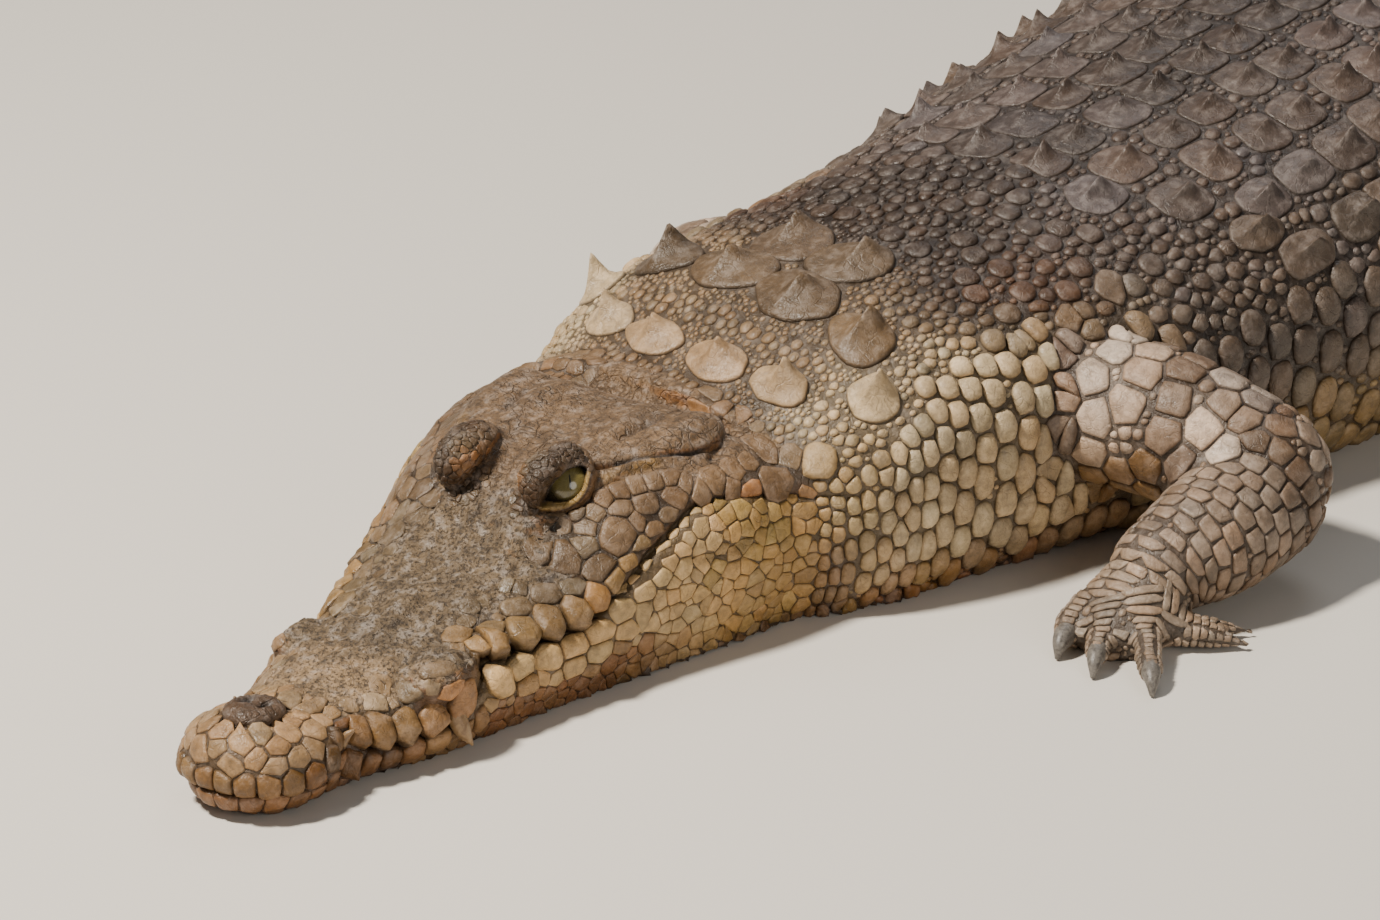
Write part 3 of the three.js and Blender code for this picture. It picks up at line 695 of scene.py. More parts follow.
def limbAt(points):
    # nearest limb stretch to each point, how far outside it, and the way along it
    best = np.full(len(points), 1e9)
    which = np.zeros(len(points), int)
    share = np.zeros(len(points))
    for k in range(len(limbRows)):
        t = np.clip((points - limbStart[k]) @ limbSpan[k] / (limbSpan[k] @ limbSpan[k]), 0, 1)
        far = lengthsOf(points - limbStart[k] - t[:, None] * limbSpan[k])
        far -= limbRows[k, 3] + t * (limbRows[k, 7] - limbRows[k, 3])
        closer = far < best
        best[closer], which[closer], share[closer] = far[closer], k, t[closer]
    return best, which, share


def bodyAt(points):
    # distance along the midline, offset to its left, and the angle round the body from the crest
    run = np.interp(-points[:, 0], straightBack, midRun)
    for _ in range(3):
        centre, left = midPoint(run)
        behind = np.stack([-left[:, 1], left[:, 0]], 1)
        run = np.clip(run + ((points[:, :2] - centre) * behind).sum(1), 0, 2394)
    centre, left = midPoint(run)
    side = ((points[:, :2] - centre) * left).sum(1)
    waist = np.where(run < 366, 45.0, readTable(bodySections, np.maximum(run, 366))[:, 2])
    return run, side, np.arctan2(side, points[:, 2] - waist)


ringRuns = np.arange(352, 2394, 4.0)
ringHalves = bodyHalf(ringRuns)
ringArcs = np.concatenate([np.zeros((len(ringRuns), 1)),
                           np.cumsum(lengthsOf(np.diff(ringHalves, axis=1)), 1)], 1)
bodyGrid = ringPoints(ringRuns, ringHalves)
aroundCount = bodyGrid.shape[1]
gridFaces = [(i * aroundCount + j, i * aroundCount + (j + 1) % aroundCount,
              (i + 1) * aroundCount + (j + 1) % aroundCount, (i + 1) * aroundCount + j)
             for i in range(len(ringRuns) - 1) for j in range(aroundCount)]
bodyTree = BVHTree.FromPolygons(bodyGrid.reshape(-1, 3).tolist(), gridFaces)
skinFaces = [tuple(p.vertices) for p in skin.data.polygons]
skinTree = BVHTree.FromPolygons(skinCo.tolist(), skinFaces)
firstThree = np.array([f[:3] for f in skinFaces])
faceNormal = skinNo[firstThree].mean(1)
faceNormal /= lengthsOf(faceNormal)[:, None]


def onSkin(points):
    # nearest place on the skin, the way out there, and how far off it was
    hits = [skinTree.find_nearest(p) for p in points.tolist()]
    index = np.array([h[2] for h in hits])
    place = np.array([h[0][:] for h in hits])
    return place, faceNormal[index], np.array([h[3] for h in hits])


def bodyPoint(run, arc, side):
    # a place on the body's form, from the distance along it and the distance down from its crest
    row = np.clip(np.round((run - ringRuns[0]) / 4).astype(int), 0, len(ringRuns) - 1)
    arcs = ringArcs[row]
    arc = np.minimum(arc, arcs[:, -1] - 0.01)
    k = (arcs < arc[:, None]).sum(1).clip(1, arcs.shape[1] - 1)
    pick = np.arange(len(row))
    t = ((arc - arcs[pick, k - 1]) / (arcs[pick, k] - arcs[pick, k - 1]))[:, None]
    half = ringHalves[row, k - 1] * (1 - t) + ringHalves[row, k] * t
    centre, left = midPoint(run)
    return np.concatenate([centre + left * (half[:, :1] * side[:, None]), half[:, 1:]], 1)


# ---- colours of the hide
# red, green and blue of each patch of hide, from 0 to 255. The back and flanks are partly painted shade. The low lip,
# the dip before the eye and the crease colour are painted shade, and the crease colour also serves for dark blotches.
# The arm's stain doubles as painted shade at the elbow.
hidePatches = {
    "crown": (112, 90, 68), "snout": (104, 88, 68), "snoutFront": (146, 122, 94), "muzzle": (152, 122, 88),
    "cheek": (156, 112, 72), "lip": (146, 114, 68), "lipLowShaded": (90, 60, 22), "jaw": (186, 156, 112),
    "chin": (98, 58, 20), "throat": (112, 84, 58), "brow": (66, 51, 36), "lid": (156, 128, 70),
    "lidSkin": (106, 82, 58), "earStrip": (128, 98, 46), "nostril": (66, 50, 40), "jawRear": (158, 124, 66),
    "hollowShade": (84, 70, 56), "nape": (132, 108, 80), "napeRear": (60, 47, 37), "neckSide": (180, 156, 120),
    "neckLow": (126, 78, 30), "moss": (120, 112, 44), "rust": (122, 78, 46), "back": (82, 69, 61),
    "slate": (82, 75, 76), "flank": (90, 76, 64), "flankLow": (148, 119, 72), "belly": (176, 152, 112),
    "tail": (102, 88, 70), "band": (66, 56, 45), "arm": (194, 170, 148), "armStainAndShade": (92, 67, 44),
    "armUnder": (128, 94, 44), "forearm": (122, 102, 84), "foot": (142, 122, 102), "digit": (122, 106, 90),
    "crease": (42, 31, 22),
}
hideColours = {name: (np.array(rgb) / 255.0) ** 2.2 for name, rgb in hidePatches.items()}


def layered(colour, *layers):
    # lays named colours one over the other, each with its own amount from point to point
    for name, amount in layers:
        amount = np.clip(amount, 0, 1)[:, None]
        colour = colour * (1 - amount) + hideColours[name] * amount
    return colour


def between(under, over, share):
    return under * (1 - share[:, None]) + over * share[:, None]


def paintNeck(run, turn, height, broad, blotch):
    return layered(
        hideColours["nape"],
        ("napeRear", stepUp(run + broad * 12, 440, 500)),
        ("neckSide", stepUp(turn + broad * 0.2 - 0.16 * stepUp(run, 410, 450), 0.78, 1.12)),
        ("neckLow", stepUp(turn + broad * 0.2, 1.82, 2.12)),
        ("jawRear", stepUp(-run, -415, -385) * stepUp(turn, 1.05, 1.35) * 0.5),
        ("throat", stepUp(-run, -400, -380) * stepUp(turn, 1.5, 1.75) * 0.8),
        ("moss", stepUp(blotch + broad, 0.15, 0.6) * stepUp(turn, 1.75, 2.0) * 0.3),
        ("rust", stepUp(height * -1.0, -15, -4) * 0.35))


def paintTail(run, turn, broad, blotch):
    bands = stepUp(np.sin(run / 21.0 + broad * 2.2) + blotch * 0.8, 0.25, 0.9)
    return layered(
        hideColours["tail"],
        ("flankLow", stepUp(turn + broad * 0.3, 1.0, 1.6) * 0.7),
        ("belly", stepUp(turn, 2.0, 2.5) * 0.7),
        ("band", bands * 0.75 * stepUp(-turn, -2.2, -1.6)))


def paintJaw(back, height, broad, blotch):
    rusty = stepUp(-height + blotch * 8 + 0.02 * back, -22, -9) * stepUp(back, 90, 150) * stepUp(-back, -290, -230)
    return layered(
        hideColours["jaw"],
        ("chin", stepUp(-back, -140, -85) * 0.85),
        ("jawRear", stepUp(back + blotch * 40, 265, 325) * 0.8),
        ("chin", rusty * 0.9),
        ("throat", stepUp(-height + blotch * 2, -3.6, -1.2) * stepUp(back, 100, 160) * 0.9),
        ("moss", stepUp(blotch + broad * 0.5, 0.25, 0.7) * stepUp(back, 130, 320) * 0.22))


def paintHead(points, normals, broad, blotch):
    back, side, height, flipped = bothSides(points)
    gap = height - lipHeight(back)
    over = stepUp(gap, -1.5, 1) * stepUp(-gap, -13, -5) * stepUp(-back, -262, -232)
    front = stepUp(-back, -130, -115)
    # the low edge of the upper lip under the overhanging blocks: dark ochre, partly its own colour and partly painted
    # shade
    low = stepUp(gap, -1.5, 1) * stepUp(-back, -250, -225)
    low = low * stepUp(-gap - 0.03 * np.minimum(back, 100) + 4 * front, -9.5, -4.5)
    head = layered(
        hideColours["cheek"],
        ("snout", stepUp(normals[:, 2] + broad * 0.3, 0.15, 0.6) * stepUp(back, 50, 90)),
        ("snoutFront", stepUp(normals[:, 2] + broad * 0.3, 0.0, 0.5) * stepUp(-back + blotch * 20, -120, -80)),
        ("muzzle", stepUp(-back, -70, -52)),
        ("crown", stepUp(back, 215, 250) * stepUp(normals[:, 2], 0.1, 0.5)),
        ("lip", over * 0.8),
        ("lipLowShaded", low * (0.75 + blotch * 0.4)))
    head = between(head, paintJaw(back, height, broad, blotch), stepUp(-gap, -0.5, 0.5))
    # lids and brow, with painted shade along the lid margins and over the skin inside the eye's opening
    along, up, out = eyeCoords(points)
    lidGap, below = openingGap(along, up), belowEye(along, up)
    facesOut = out > 1
    lidEdge = 4.2 - 0.14 * (along + 8).clip(0, 20)
    head = layered(
        head,
        ("brow", stepUp(-lidGap, -17, -11) * (1 - below) * (along < 12) * facesOut * 0.95),
        ("lidSkin", stepUp(-lidGap, -7.5, -5.0) * below * facesOut * 0.8),
        ("lid", stepUp(lidEdge - lidGap, -0.5, 0.5) * below * facesOut * 0.95),
        ("crease", gauss(lidGap - lidEdge - 0.9, 0.6) * below * facesOut * 0.85),
        ("crease", gauss(lidGap - 0.2, 0.6) * (1 - below) * facesOut * 0.8),
        ("crease", stepUp(-lidGap, -0.2, 0.6) * facesOut * (np.hypot(along, up) < 16)))
    # painted shade in the dip before the eye, in the ear slit, along the darker folds, along the line of the mouth,
    # round the nostrils' pad and in the nostrils; then the pale strip under the ear, the pad's own colour and dark
    # blotches at random
    pad = onPadAt(back, side)
    onPad = (height > 36) & (back < 62)
    hole = gauss(side - 5.0 - 0.02 * (back - 33) ** 2, 2.0) * gauss(back - 33, 4.6)
    head = layered(
        head,
        ("hollowShade", gauss(lengthsOf((flipped - [222, 38, 77]) / [14, 12, 10]), 1.0) * 0.6),
        ("earStrip", gauss(toPath(flipped, [(256, 43, 92), (268, 49, 93), (280, 54, 94)]), 3.4) * 0.95),
        ("crease", np.clip(gauss(toPath(flipped, folds[earSlit][2]), 1.7) * 1.3, 0, 1)),
        *[("crease", gauss(toPath(flipped, folds[k][2]), folds[k][1]) * 0.5) for k in darkFolds],
        ("crease", gauss(gap, 1.6) * (back < 296) * 0.9 + gauss(gap, 1.0) * (back >= 296) * 0.6),
        ("nostril", stepUp(-pad, -1.08, -0.96) * onPad * 0.9),
        ("crease", gauss(pad - 1.04, 0.07) * onPad * 0.7),
        ("crease", np.clip(hole * 2.2, 0, 1) * onPad),
        ("crease", stepUp(blotch + fieldNoise(points, 0.11, 9, 2) * 0.7, 0.35, 0.75) * 0.3))
    return head * [1.02, 0.97, 0.86]


def paintLimb(points, normals, which, share, broad, blotch):
    kind = limbRows[which, 9]
    way = limbRows[which, 10] + share * limbRows[which, 11]
    stain = fieldNoise(points, 0.03, 21, 3)
    return layered(
        hideColours["arm"],
        ("armStainAndShade", stepUp(stain, -0.12, 0.3) * 0.75 * (kind < 1)),
        ("armStainAndShade", stepUp(-share, -0.42, -0.1) * (kind < 1) * 0.85),
        ("armUnder", stepUp(-normals[:, 2] + broad * 0.4, -0.15, 0.35) * (kind < 1.5) * 0.9),
        ("slate", stepUp(blotch + broad * 0.5, 0.2, 0.55) * 0.4),
        ("forearm", (kind >= 1) * 0.85),
        # darker at the elbow, in the stain's colour: painted shade in the crook of the leg
        ("armStainAndShade", ((kind == 1) * stepUp(-share, -0.5, -0.05) + (kind == 0) * stepUp(share, 0.75, 1)) * 0.6),
        ("foot", (kind >= 2) * 0.85),
        ("digit", (kind >= 3) * stepUp(way, 250, 300)))


def paint(points, normals, isLimb, which, share):
    run, _, angle = bodyAt(points)
    turn = np.abs(angle)
    broad = fieldNoise(points, 0.012, 5, 3)
    blotch = fieldNoise(points, 0.045, 6, 3)
    # trunk from the crest down, then everything that meets it
    colour = layered(
        hideColours["back"],
        ("flank", stepUp(turn + broad * 0.25, 0.85, 1.3)),
        ("flankLow", stepUp(turn + broad * 0.2, 1.55, 1.95) * 0.8),
        ("belly", stepUp(turn, 1.9, 2.3)),
        ("slate", stepUp(blotch + broad * 0.6, 0.2, 0.6) * (turn < 1.7) * 0.45))
    # the crest of the trunk is darker: partly its own colour, partly painted shade
    colour = colour * (1 - 0.38 * stepUp(-turn, -0.6, -0.2))[:, None]
    colour = between(colour, paintNeck(run, turn, points[:, 2], broad, blotch), stepUp(-run, -600, -520))
    rust = np.exp(-((run - 530) / 30) ** 2 - ((turn - 0.98) / 0.17) ** 2)
    colour = layered(colour, ("rust", rust * 0.35 + rust * blotch * 0.35))
    colour = between(colour, paintTail(run, turn, broad, blotch), stepUp(run, 1150, 1260))
    head = paintHead(points, normals, broad, blotch)
    colour = between(colour, head, stepUp(-run + broad * 18, -384, -350))
    colour = np.where(isLimb[:, None], paintLimb(points, normals, which, share, broad, blotch), colour)
    return colour * (1 + 0.22 * blotch + 0.14 * broad)[:, None]


def regionOf(points):
    far, which, share = limbAt(points)
    bodyFar = np.array([bodyTree.find_nearest(p)[3] for p in points.tolist()])
    return (far < bodyFar) & ((points[:, 0] < -395) | (np.abs(points[:, 1]) > 170)), which, share


def storeColour(mesh, colour, dome):
    tint = mesh.attributes.new("tint", "FLOAT_COLOR", "POINT")
    rgba = np.ones((len(colour), 4), np.float32)
    rgba[:, :3] = np.clip(colour, 0.0, 1.0)
    tint.data.foreach_set("color", rgba.ravel())
    mesh.attributes.new("dome", "FLOAT", "POINT").data.foreach_set("value", np.asarray(dome, np.float32))


def plateCover(points, normals):
    # 1 where the head carries plates, less towards the bare bone of its top
    back, side, height, flipped = bothSides(points)
    gap = height - lipHeight(back)
    snoutTop = stepUp(gap, 23, 28) * stepUp(back, 54, 64) * stepUp(-back, -204, -190)
    level = stepUp(normals[:, 2], 0.66, 0.82) * stepUp(back, 56, 66) * (height > 34) * (gap > 12)
    snoutTop = np.maximum(snoutTop, level * stepUp(-back, -225, -205))
    snoutTop = np.maximum(snoutTop, stepUp(-side, -36, -31) * stepUp(back, 150, 190))
    crown = stepUp(height, 84, 89) * stepUp(back, 205, 225) * stepUp(-back, -352, -346)
    ear = stepUp(-toPath(flipped, [(252, 42, 90), (268, 50, 92.5), (284, 58, 93.5), (318, 68, 94)]), -8.5, -6.5)
    pad = stepUp(-onPadAt(back, side), -1.26, -1.18) * (height > 36)
    return np.clip(1 - snoutTop - crown - ear - pad, 0, 1)


skinLimb, skinWhich, skinShare = regionOf(skinCo)
skinColour = paint(skinCo, skinNo, skinLimb, skinWhich, skinShare)
skinRun = bodyAt(skinCo)[0]
cover = np.where((skinRun < 362) & ~skinLimb, plateCover(skinCo, skinNo), 1.0)
eyeParts = eyeCoords(skinCo)
onLids = (openingGap(eyeParts[0], eyeParts[1]) < 5.5) & (eyeParts[2] > 1) & (skinRun < 300)
cover = np.where(onLids, 0.0, cover)[:, None]
# where scales cover it, the skin is painted dark as painted shade in the creases between them; bare skin keeps its own
# colour
storeColour(skin.data, (skinColour * 0.26 + hideColours["crease"] * 0.4) * cover + skinColour * (1 - cover),
            np.full(len(skinCo), 0.25))
onPad = (onPadAt(-skinCo[:, 0], skinCo[:, 1]) < 1.15) & (skinCo[:, 2] > 36)
bare = (1 - cover[:, 0]) * np.where(onPad | onLids, 0.12, 1.0) * np.where(-skinCo[:, 0] > 235, 0.6, 1.0)
skin.data.attributes.new("bare", "FLOAT", "POINT").data.foreach_set("value", bare.astype(np.float32))
report("skin painted")

# ---- where each scale is rooted
coat = {"place": [], "lie": [], "long": [], "wide": [], "high": [], "keel": [], "kind": [], "bright": []}
# sides, rings from the rim inwards [share, lift], sharpness of the corners, reach past the half size, squareness,
# crease between neighbours and how many neighbours count
scaleKinds = {
    "bead": {"around": 8, "rings": [(1.0, 0), (0.8, 0.7)], "power": 11, "cap": 1.25, "square": 2.0, "gap": 0.2},
    "oval": {"around": 14, "rings": [(1.0, 0), (0.94, 0.4), (0.78, 0.75), (0.45, 0.96)], "power": 10, "cap": 1.16,
             "square": 2.2, "gap": 0.3},
    "plate": {"around": 12, "rings": [(1.0, 0), (0.95, 0.55), (0.82, 0.88), (0.45, 1.0)], "power": 30, "cap": 1.3,
              "square": 2.4, "gap": 0.4},
    "headPlate": {"around": 13, "rings": [(1.0, 0), (0.955, 0.42), (0.85, 0.8), (0.6, 0.98)], "power": 50, "cap": 1.7,
                  "square": 2.0, "gap": 0.05},
    "block": {"around": 18, "rings": [(1.0, 0), (0.97, 0.36), (0.88, 0.68), (0.68, 0.9), (0.36, 0.99)], "power": 22,
              "cap": 1.2, "square": 3.0, "gap": 0.2},
    "scute": {"around": 28, "rings": [(1.0, 0), (0.975, 0.5), (0.92, 0.82), (0.8, 0.95), (0.64, 1.0), (0.48, 1.0),
                                      (0.34, 1.0), (0.22, 1.0), (0.1, 1.0)], "power": 40, "cap": 1.1, "square": 3.4,
              "gap": 0.5, "reach": 56},
}
kindNames = list(scaleKinds)
squareKinds = [kindNames.index(kind) for kind in ("plate", "scute")]


def addRoots(kind, place, lie, long, wide, high, keel=0.0, bright=0.0):
    count = len(place)
    for key, value in (("place", place), ("lie", lie)):
        coat[key].append(np.asarray(value, float).reshape(count, 3))
    for key, value in (("long", long), ("wide", wide), ("high", high), ("keel", keel), ("bright", bright),
                       ("kind", kindNames.index(kind))):
        coat[key].append(np.broadcast_to(np.asarray(value, float), (count,)).copy())


def behindOf(points):
    run = bodyAt(points)[0]
    left = midPoint(run)[1]
    return np.stack([-left[:, 1], left[:, 0], 0 * run], 1)


def bodyRows(kind, runFrom, runTo, step, arcFrom, arcTo, wide, high, keel=0.0, jitter=0.08, stagger=True,
             reach=6.0, fill=1.0, longShare=0.5, skip=0.0):
    # rows of scales across the body, each row set half a scale on from the one before
    runs, arcs, sides, longs, wides = [], [], [], [], []
    run, row = runFrom, 0
    while run < runTo:
        length = step(run)
        for side in (1, -1):
            arc = arcFrom(run) + (wide(run, arcFrom(run)) * (row % 2) if stagger else 0)
            while arc < arcTo(run):
                half = wide(run, arc)
                if rng.random() >= skip:
                    runs.append(run + rng.normal(0, jitter) * length)
                    arcs.append(arc + half + rng.normal(0, jitter) * half * 2)
                    sides.append(side)
                    longs.append(length * longShare * fill)
                    wides.append(half * fill)
                arc += half * 2
        run += length
        row += 1
    runs, arcs, sides = np.array(runs), np.array(arcs), np.array(sides, float)
    form = bodyPoint(runs, arcs, sides)
    place, normal, far = onSkin(form)
    keep = (far < reach) & ~((place[:, 2] < 3.0) & (normal[:, 2] < -0.5))
    longs, wides = np.array(longs)[keep], np.array(wides)[keep]
    tall = high if np.isscalar(high) else high(runs[keep], arcs[keep])
    ridge = keel if np.isscalar(keel) else keel(runs[keep], arcs[keep])
    addRoots(kind, place[keep], behindOf(place[keep]), longs, wides, tall, ridge)


def ramp(x, *knots):
    xs, ys = zip(*knots)
    return float(np.interp(x, xs, ys))


def plantBody():
    # large keeled scutes behind the skull and on the neck: run, side, half length, half width, keel, brightness; the
    # brightness is painted light on the front scutes and painted shade on the middle pair
    large = [(381, 23, 13, 21, 9.0, 0.5), (387, 64, 13, 19, 12.0, 0.5), (413, 101, 15, 13.5, 15.0, 0.1),
             (431, 26, 21, 25.5, 9.0, -0.45), (433, 73, 20.5, 21, 13.0, -0.6), (474, 24.5, 21, 24.5, 10.0, 0.2)]
    runs = np.array([s[0] for s in large] * 2, float)
    sides = np.array([s[1] for s in large] + [-s[1] for s in large], float)
    centre, left = midPoint(runs)
    tops = np.concatenate([centre + left * sides[:, None], np.full((len(runs), 1), 260.0)], 1)
    hits = [skinTree.ray_cast(p, (0, 0, -1))[0] for p in tops.tolist()]
    place = np.array([h[:] for h in hits])
    addRoots("scute", place, behindOf(place), [s[2] for s in large] * 2, [s[3] for s in large] * 2, 2.4,
             [s[4] for s in large] * 2, [s[5] for s in large] * 2)
    # armour of the back: rows of keeled scutes, wider from the third row on
    step = 34.0
    for row, run in enumerate(np.arange(603, 1200, step)):
        reach = min(116, 62 + 30 * row) * ramp(run, (600, 1), (1000, 1), (1200, 0.62))
        count = max(2, round((reach + 16) / 33))
        width = (reach + 16) / count
        offsets = (np.arange(count) + 0.5) * width
        for side in (1, -1):
            arcs = offsets + rng.normal(0, 1.2, count)
            form = bodyPoint(np.full(count, run) + rng.normal(0, 2.4, count), arcs, np.full(count, float(side)))
            spot, _, far = onSkin(form)
            ok = far < 7
            addRoots("scute", spot[ok], behindOf(spot[ok]), step * 0.5 * rng.uniform(0.8, 0.98, ok.sum()),
                     width * 0.5 * rng.uniform(0.74, 0.98, ok.sum()), 1.3, rng.uniform(5.0, 9.0, count)[ok])
        # single ovals between the armour and the flank
        if row > 0 and run < 1150:
            for side in (1, -1):
                form = bodyPoint(np.array([run + 12 * (row % 2)]) + rng.normal(0, 3), np.array([reach + 36.0]),
                                 np.array([float(side)]))
                spot, _, far = onSkin(form)
                if far[0] < 7:
                    addRoots("scute", spot, behindOf(spot), rng.uniform(14, 19), rng.uniform(11, 13.5), 2.2, 7.5)
    # sides of the neck
    bodyRows("oval", 372, 590, lambda r: ramp(r, (372, 6.6), (400, 9.0), (440, 11.0), (500, 13.0), (590, 14)),
             lambda r: ramp(r, (372, 112), (395, 124), (425, 128), (440, 112), (500, 104), (588, 140)),
             lambda r: ramp(r, (372, 238), (588, 264)),
             lambda r, a: ramp(r, (372, 5.0), (400, 6.6), (440, 8.6), (500, 10.6), (588, 11.5))
             * ramp(a, (100, 0.6), (145, 0.9), (175, 1.1), (235, 1.0)),
             lambda r, a: np.interp(r, [372, 400, 440, 588], [1.8, 3.0, 4.2, 4.8]), fill=1.06, jitter=0.08)
    # loose ovals behind the neck's shield
    bodyRows("oval", 506, 596, lambda r: 17.0, lambda r: 8.0, lambda r: 112.0, lambda r, a: 8.6, 2.6, fill=0.82,
             jitter=0.14, skip=0.25)
    # flanks
    bodyRows("oval", 596, 1150, lambda r: ramp(r, (596, 14.5), (660, 16.5), (1150, 16)),
             lambda r: ramp(r, (596, 160), (650, 164), (1000, 168), (1100, 136), (1150, 118)),
             lambda r: ramp(r, (596, 284), (900, 305), (1150, 230)),
             lambda r, a: ramp(a, (150, 9.0), (200, 12.0), (300, 12.5)), 3.6, fill=1.02, jitter=0.09)
    # belly
    bodyRows("plate", 400, 1190, lambda r: ramp(r, (400, 12), (560, 18), (1190, 20)),
             lambda r: ramp(r, (400, 240), (590, 286), (900, 307), (1150, 232), (1190, 220)), lambda r: 420.0,
             lambda r, a: 9.5, 1.0, jitter=0.03)
    # tail: one ring of scales to each blade of the crest, two to each on its sides
    bodyRows("plate", 1196, 1660, lambda r: 19.0,
             lambda r: ramp(r, (1196, 66), (1655, 22)), lambda r: ramp(r, (1196, 330), (1660, 190)),
             lambda r, a: ramp(r, (1196, 12), (1660, 9.5)), lambda r, a: np.interp(r, [1196, 1660], [2.0, 1.6]),
             keel=lambda r, a: np.where(a < 120, 0.9, 0.0), jitter=0.05)
    bodyRows("scute", 1215 - 19, 1655, lambda r: 38.0, lambda r: 1.0,
             lambda r: ramp(r, (1196, 40), (1500, 10), (1655, 4)), lambda r, a: ramp(r, (1196, 20), (1500, 11)), 1.6,
             keel=0.8, stagger=False, jitter=0.02)
    bodyRows("plate", 1672 - 8.5, 2385, lambda r: 17.0,
             lambda r: 3.5, lambda r: ramp(r, (1663, 190), (2385, 20)),
             lambda r, a: ramp(r, (1663, 8.6), (2100, 6.0), (2385, 3.0)),
             lambda r, a: np.interp(r, [1663, 2385], [1.5, 0.7]), jitter=0.05)


# bands of scales on a leg at the shoulder, upper arm, elbow, forearm, before the wrist, at the wrist and on the palm
limbBands = {"lengths": (17, 17, 12, 10.0, 7.5, 5.6, 4.6), "halfWidths": (9.5, 10, 7.5, 6.8, 7.5, 9.0, 9.0),
             "onDigit": (4.2, 5.0), "digitHigh": 1.4, "hind": 1.25}


def limbDirections(leg):
    path = np.array(leg["upper"] + leg["lower"][1:] + leg["palm"][1:], float)
    return throughPoints(path, 12)


def ringOnLimb(centre, ahead, radius, half, step, high, jitter, phase, snug=False):
    side = np.cross([0, 0, 1.0], ahead)
    side /= np.linalg.norm(side)
    rise = np.cross(ahead, side)
    count = max(3, round(2 * math.pi * radius / (2 * half)))
    turns = (np.arange(count) + phase) / count * 2 * math.pi + rng.normal(0, jitter, count) * 2 / count
    places = []
    for turn in turns:
        way = math.cos(turn) * side + math.sin(turn) * rise
        start = centre + ahead * rng.normal(0, jitter) * step
        hit, _, index, _ = skinTree.ray_cast(start.tolist(), way.tolist(), radius * 1.7 + 3)
        if hit is not None and not (hit[2] < 1.2 and faceNormal[index][2] < -0.6):
            places.append(hit[:])
    if places:
        if snug:
            radius = lengthsOf(np.array(places) - centre).mean()
            high = high * min(1.0, radius / 7.0)
        addRoots("plate", places, np.tile(ahead, (len(places), 1)), step * 0.5, math.pi * radius / count, high)


def dropCrossed(start):
    # leaves out scales rooted inside one that came before
    have = gathered()
    place, lie = have["place"][start:], have["lie"][start:]
    long, wide = have["long"][start:], have["wide"][start:]
    tree = treeOf(place)
    kept = np.ones(len(place), bool)
    for i in range(len(place)):
        for _, j, _ in tree.find_n(place[i].tolist(), 14):
            if j < i and kept[j]:
                offset = place[i] - place[j]
                along = abs(offset @ lie[j])
                across = math.sqrt(max(offset @ offset - along**2, 0))
                if math.hypot(along / (long[i] + long[j]), across / (wide[i] + wide[j])) < 0.66:
                    kept[i] = False
                    break
    for key in coat:
        coat[key] = [have[key][:start], have[key][start:][kept]]


def plantLimbs():
    start = len(gathered()["place"])
    for name, leg in legs.items():
        fore = name.startswith("fore")
        path = limbDirections(leg)
        run = np.concatenate([[0], np.cumsum(lengthsOf(np.diff(path[:, :3], axis=0)))])
        for k, digit in enumerate(leg["digits"]):
            track = throughPoints(np.array(digit, float), 10)
            beyond = 4.5 if k < 3 else -2.5
            length = np.concatenate([[0], np.cumsum(lengthsOf(np.diff(track[:, :3], axis=0)))])
            for at in np.arange(4.0, length[-1] + beyond, 4.0 if fore else 5.0):
                centre = np.array([np.interp(at, length, track[:, axis]) for axis in range(3)])
                i = min(int(np.searchsorted(length, at)), len(track) - 1)
                ahead = track[i, :3] - track[max(i - 1, 0), :3] + 1e-6
                ahead = ahead / np.linalg.norm(ahead)
                radius = np.interp(at, length, track[:, 3])
                centre += ahead * max(at - length[-1], 0)
                ringOnLimb(centre, ahead, radius, max(radius * 0.628, 2.0), limbBands["onDigit"][not fore],
                           limbBands["digitHigh"], 0.0, 0.25, snug=True)
        elbow, wrist, end = run[24], run[48], run[-1]
        size = 1.0 if fore else limbBands["hind"]
        at, row = 20.0, 0
        while at < end:
            centre = np.array([np.interp(at, run, path[:, k]) for k in range(3)])
            onward = np.array([np.interp(at + 2, run, path[:, k]) for k in range(3)])
            ahead = (onward - centre) / np.linalg.norm(onward - centre)
            radius = np.interp(at, run, path[:, 3])
            middle = (elbow + wrist) / 2
            step, half = (ramp(at, *[(where, wide * size) for where, wide in zip(
                (0, elbow * 0.75, elbow + 8, middle, wrist - before, wrist, end), limbBands[key])])
                          for key, before in (("lengths", 14), ("halfWidths", 12)))
            big = at < elbow * 0.9
            ringOnLimb(centre, ahead, radius, half, step, 2.0 if big else 1.5 if at < wrist - 8 else 1.2,
                       0.16 if big else 0.06, 0.5 * (row % 2))
            at += step
            row += 1
    dropCrossed(start)


skinArea = sum(p.area for p in skin.data.polygons) / mm**2
candidates = {"head": 150000, "beads": 260000}
beadSizes = {"at": (360, 400, 480, 560, 640, 1200), "first": (2.7, 3.1, 3.7, 4.6, 4.4, 4.4),
             "small": (1.25, 1.5, 1.7, 2.1, 2.3, 2.3)}


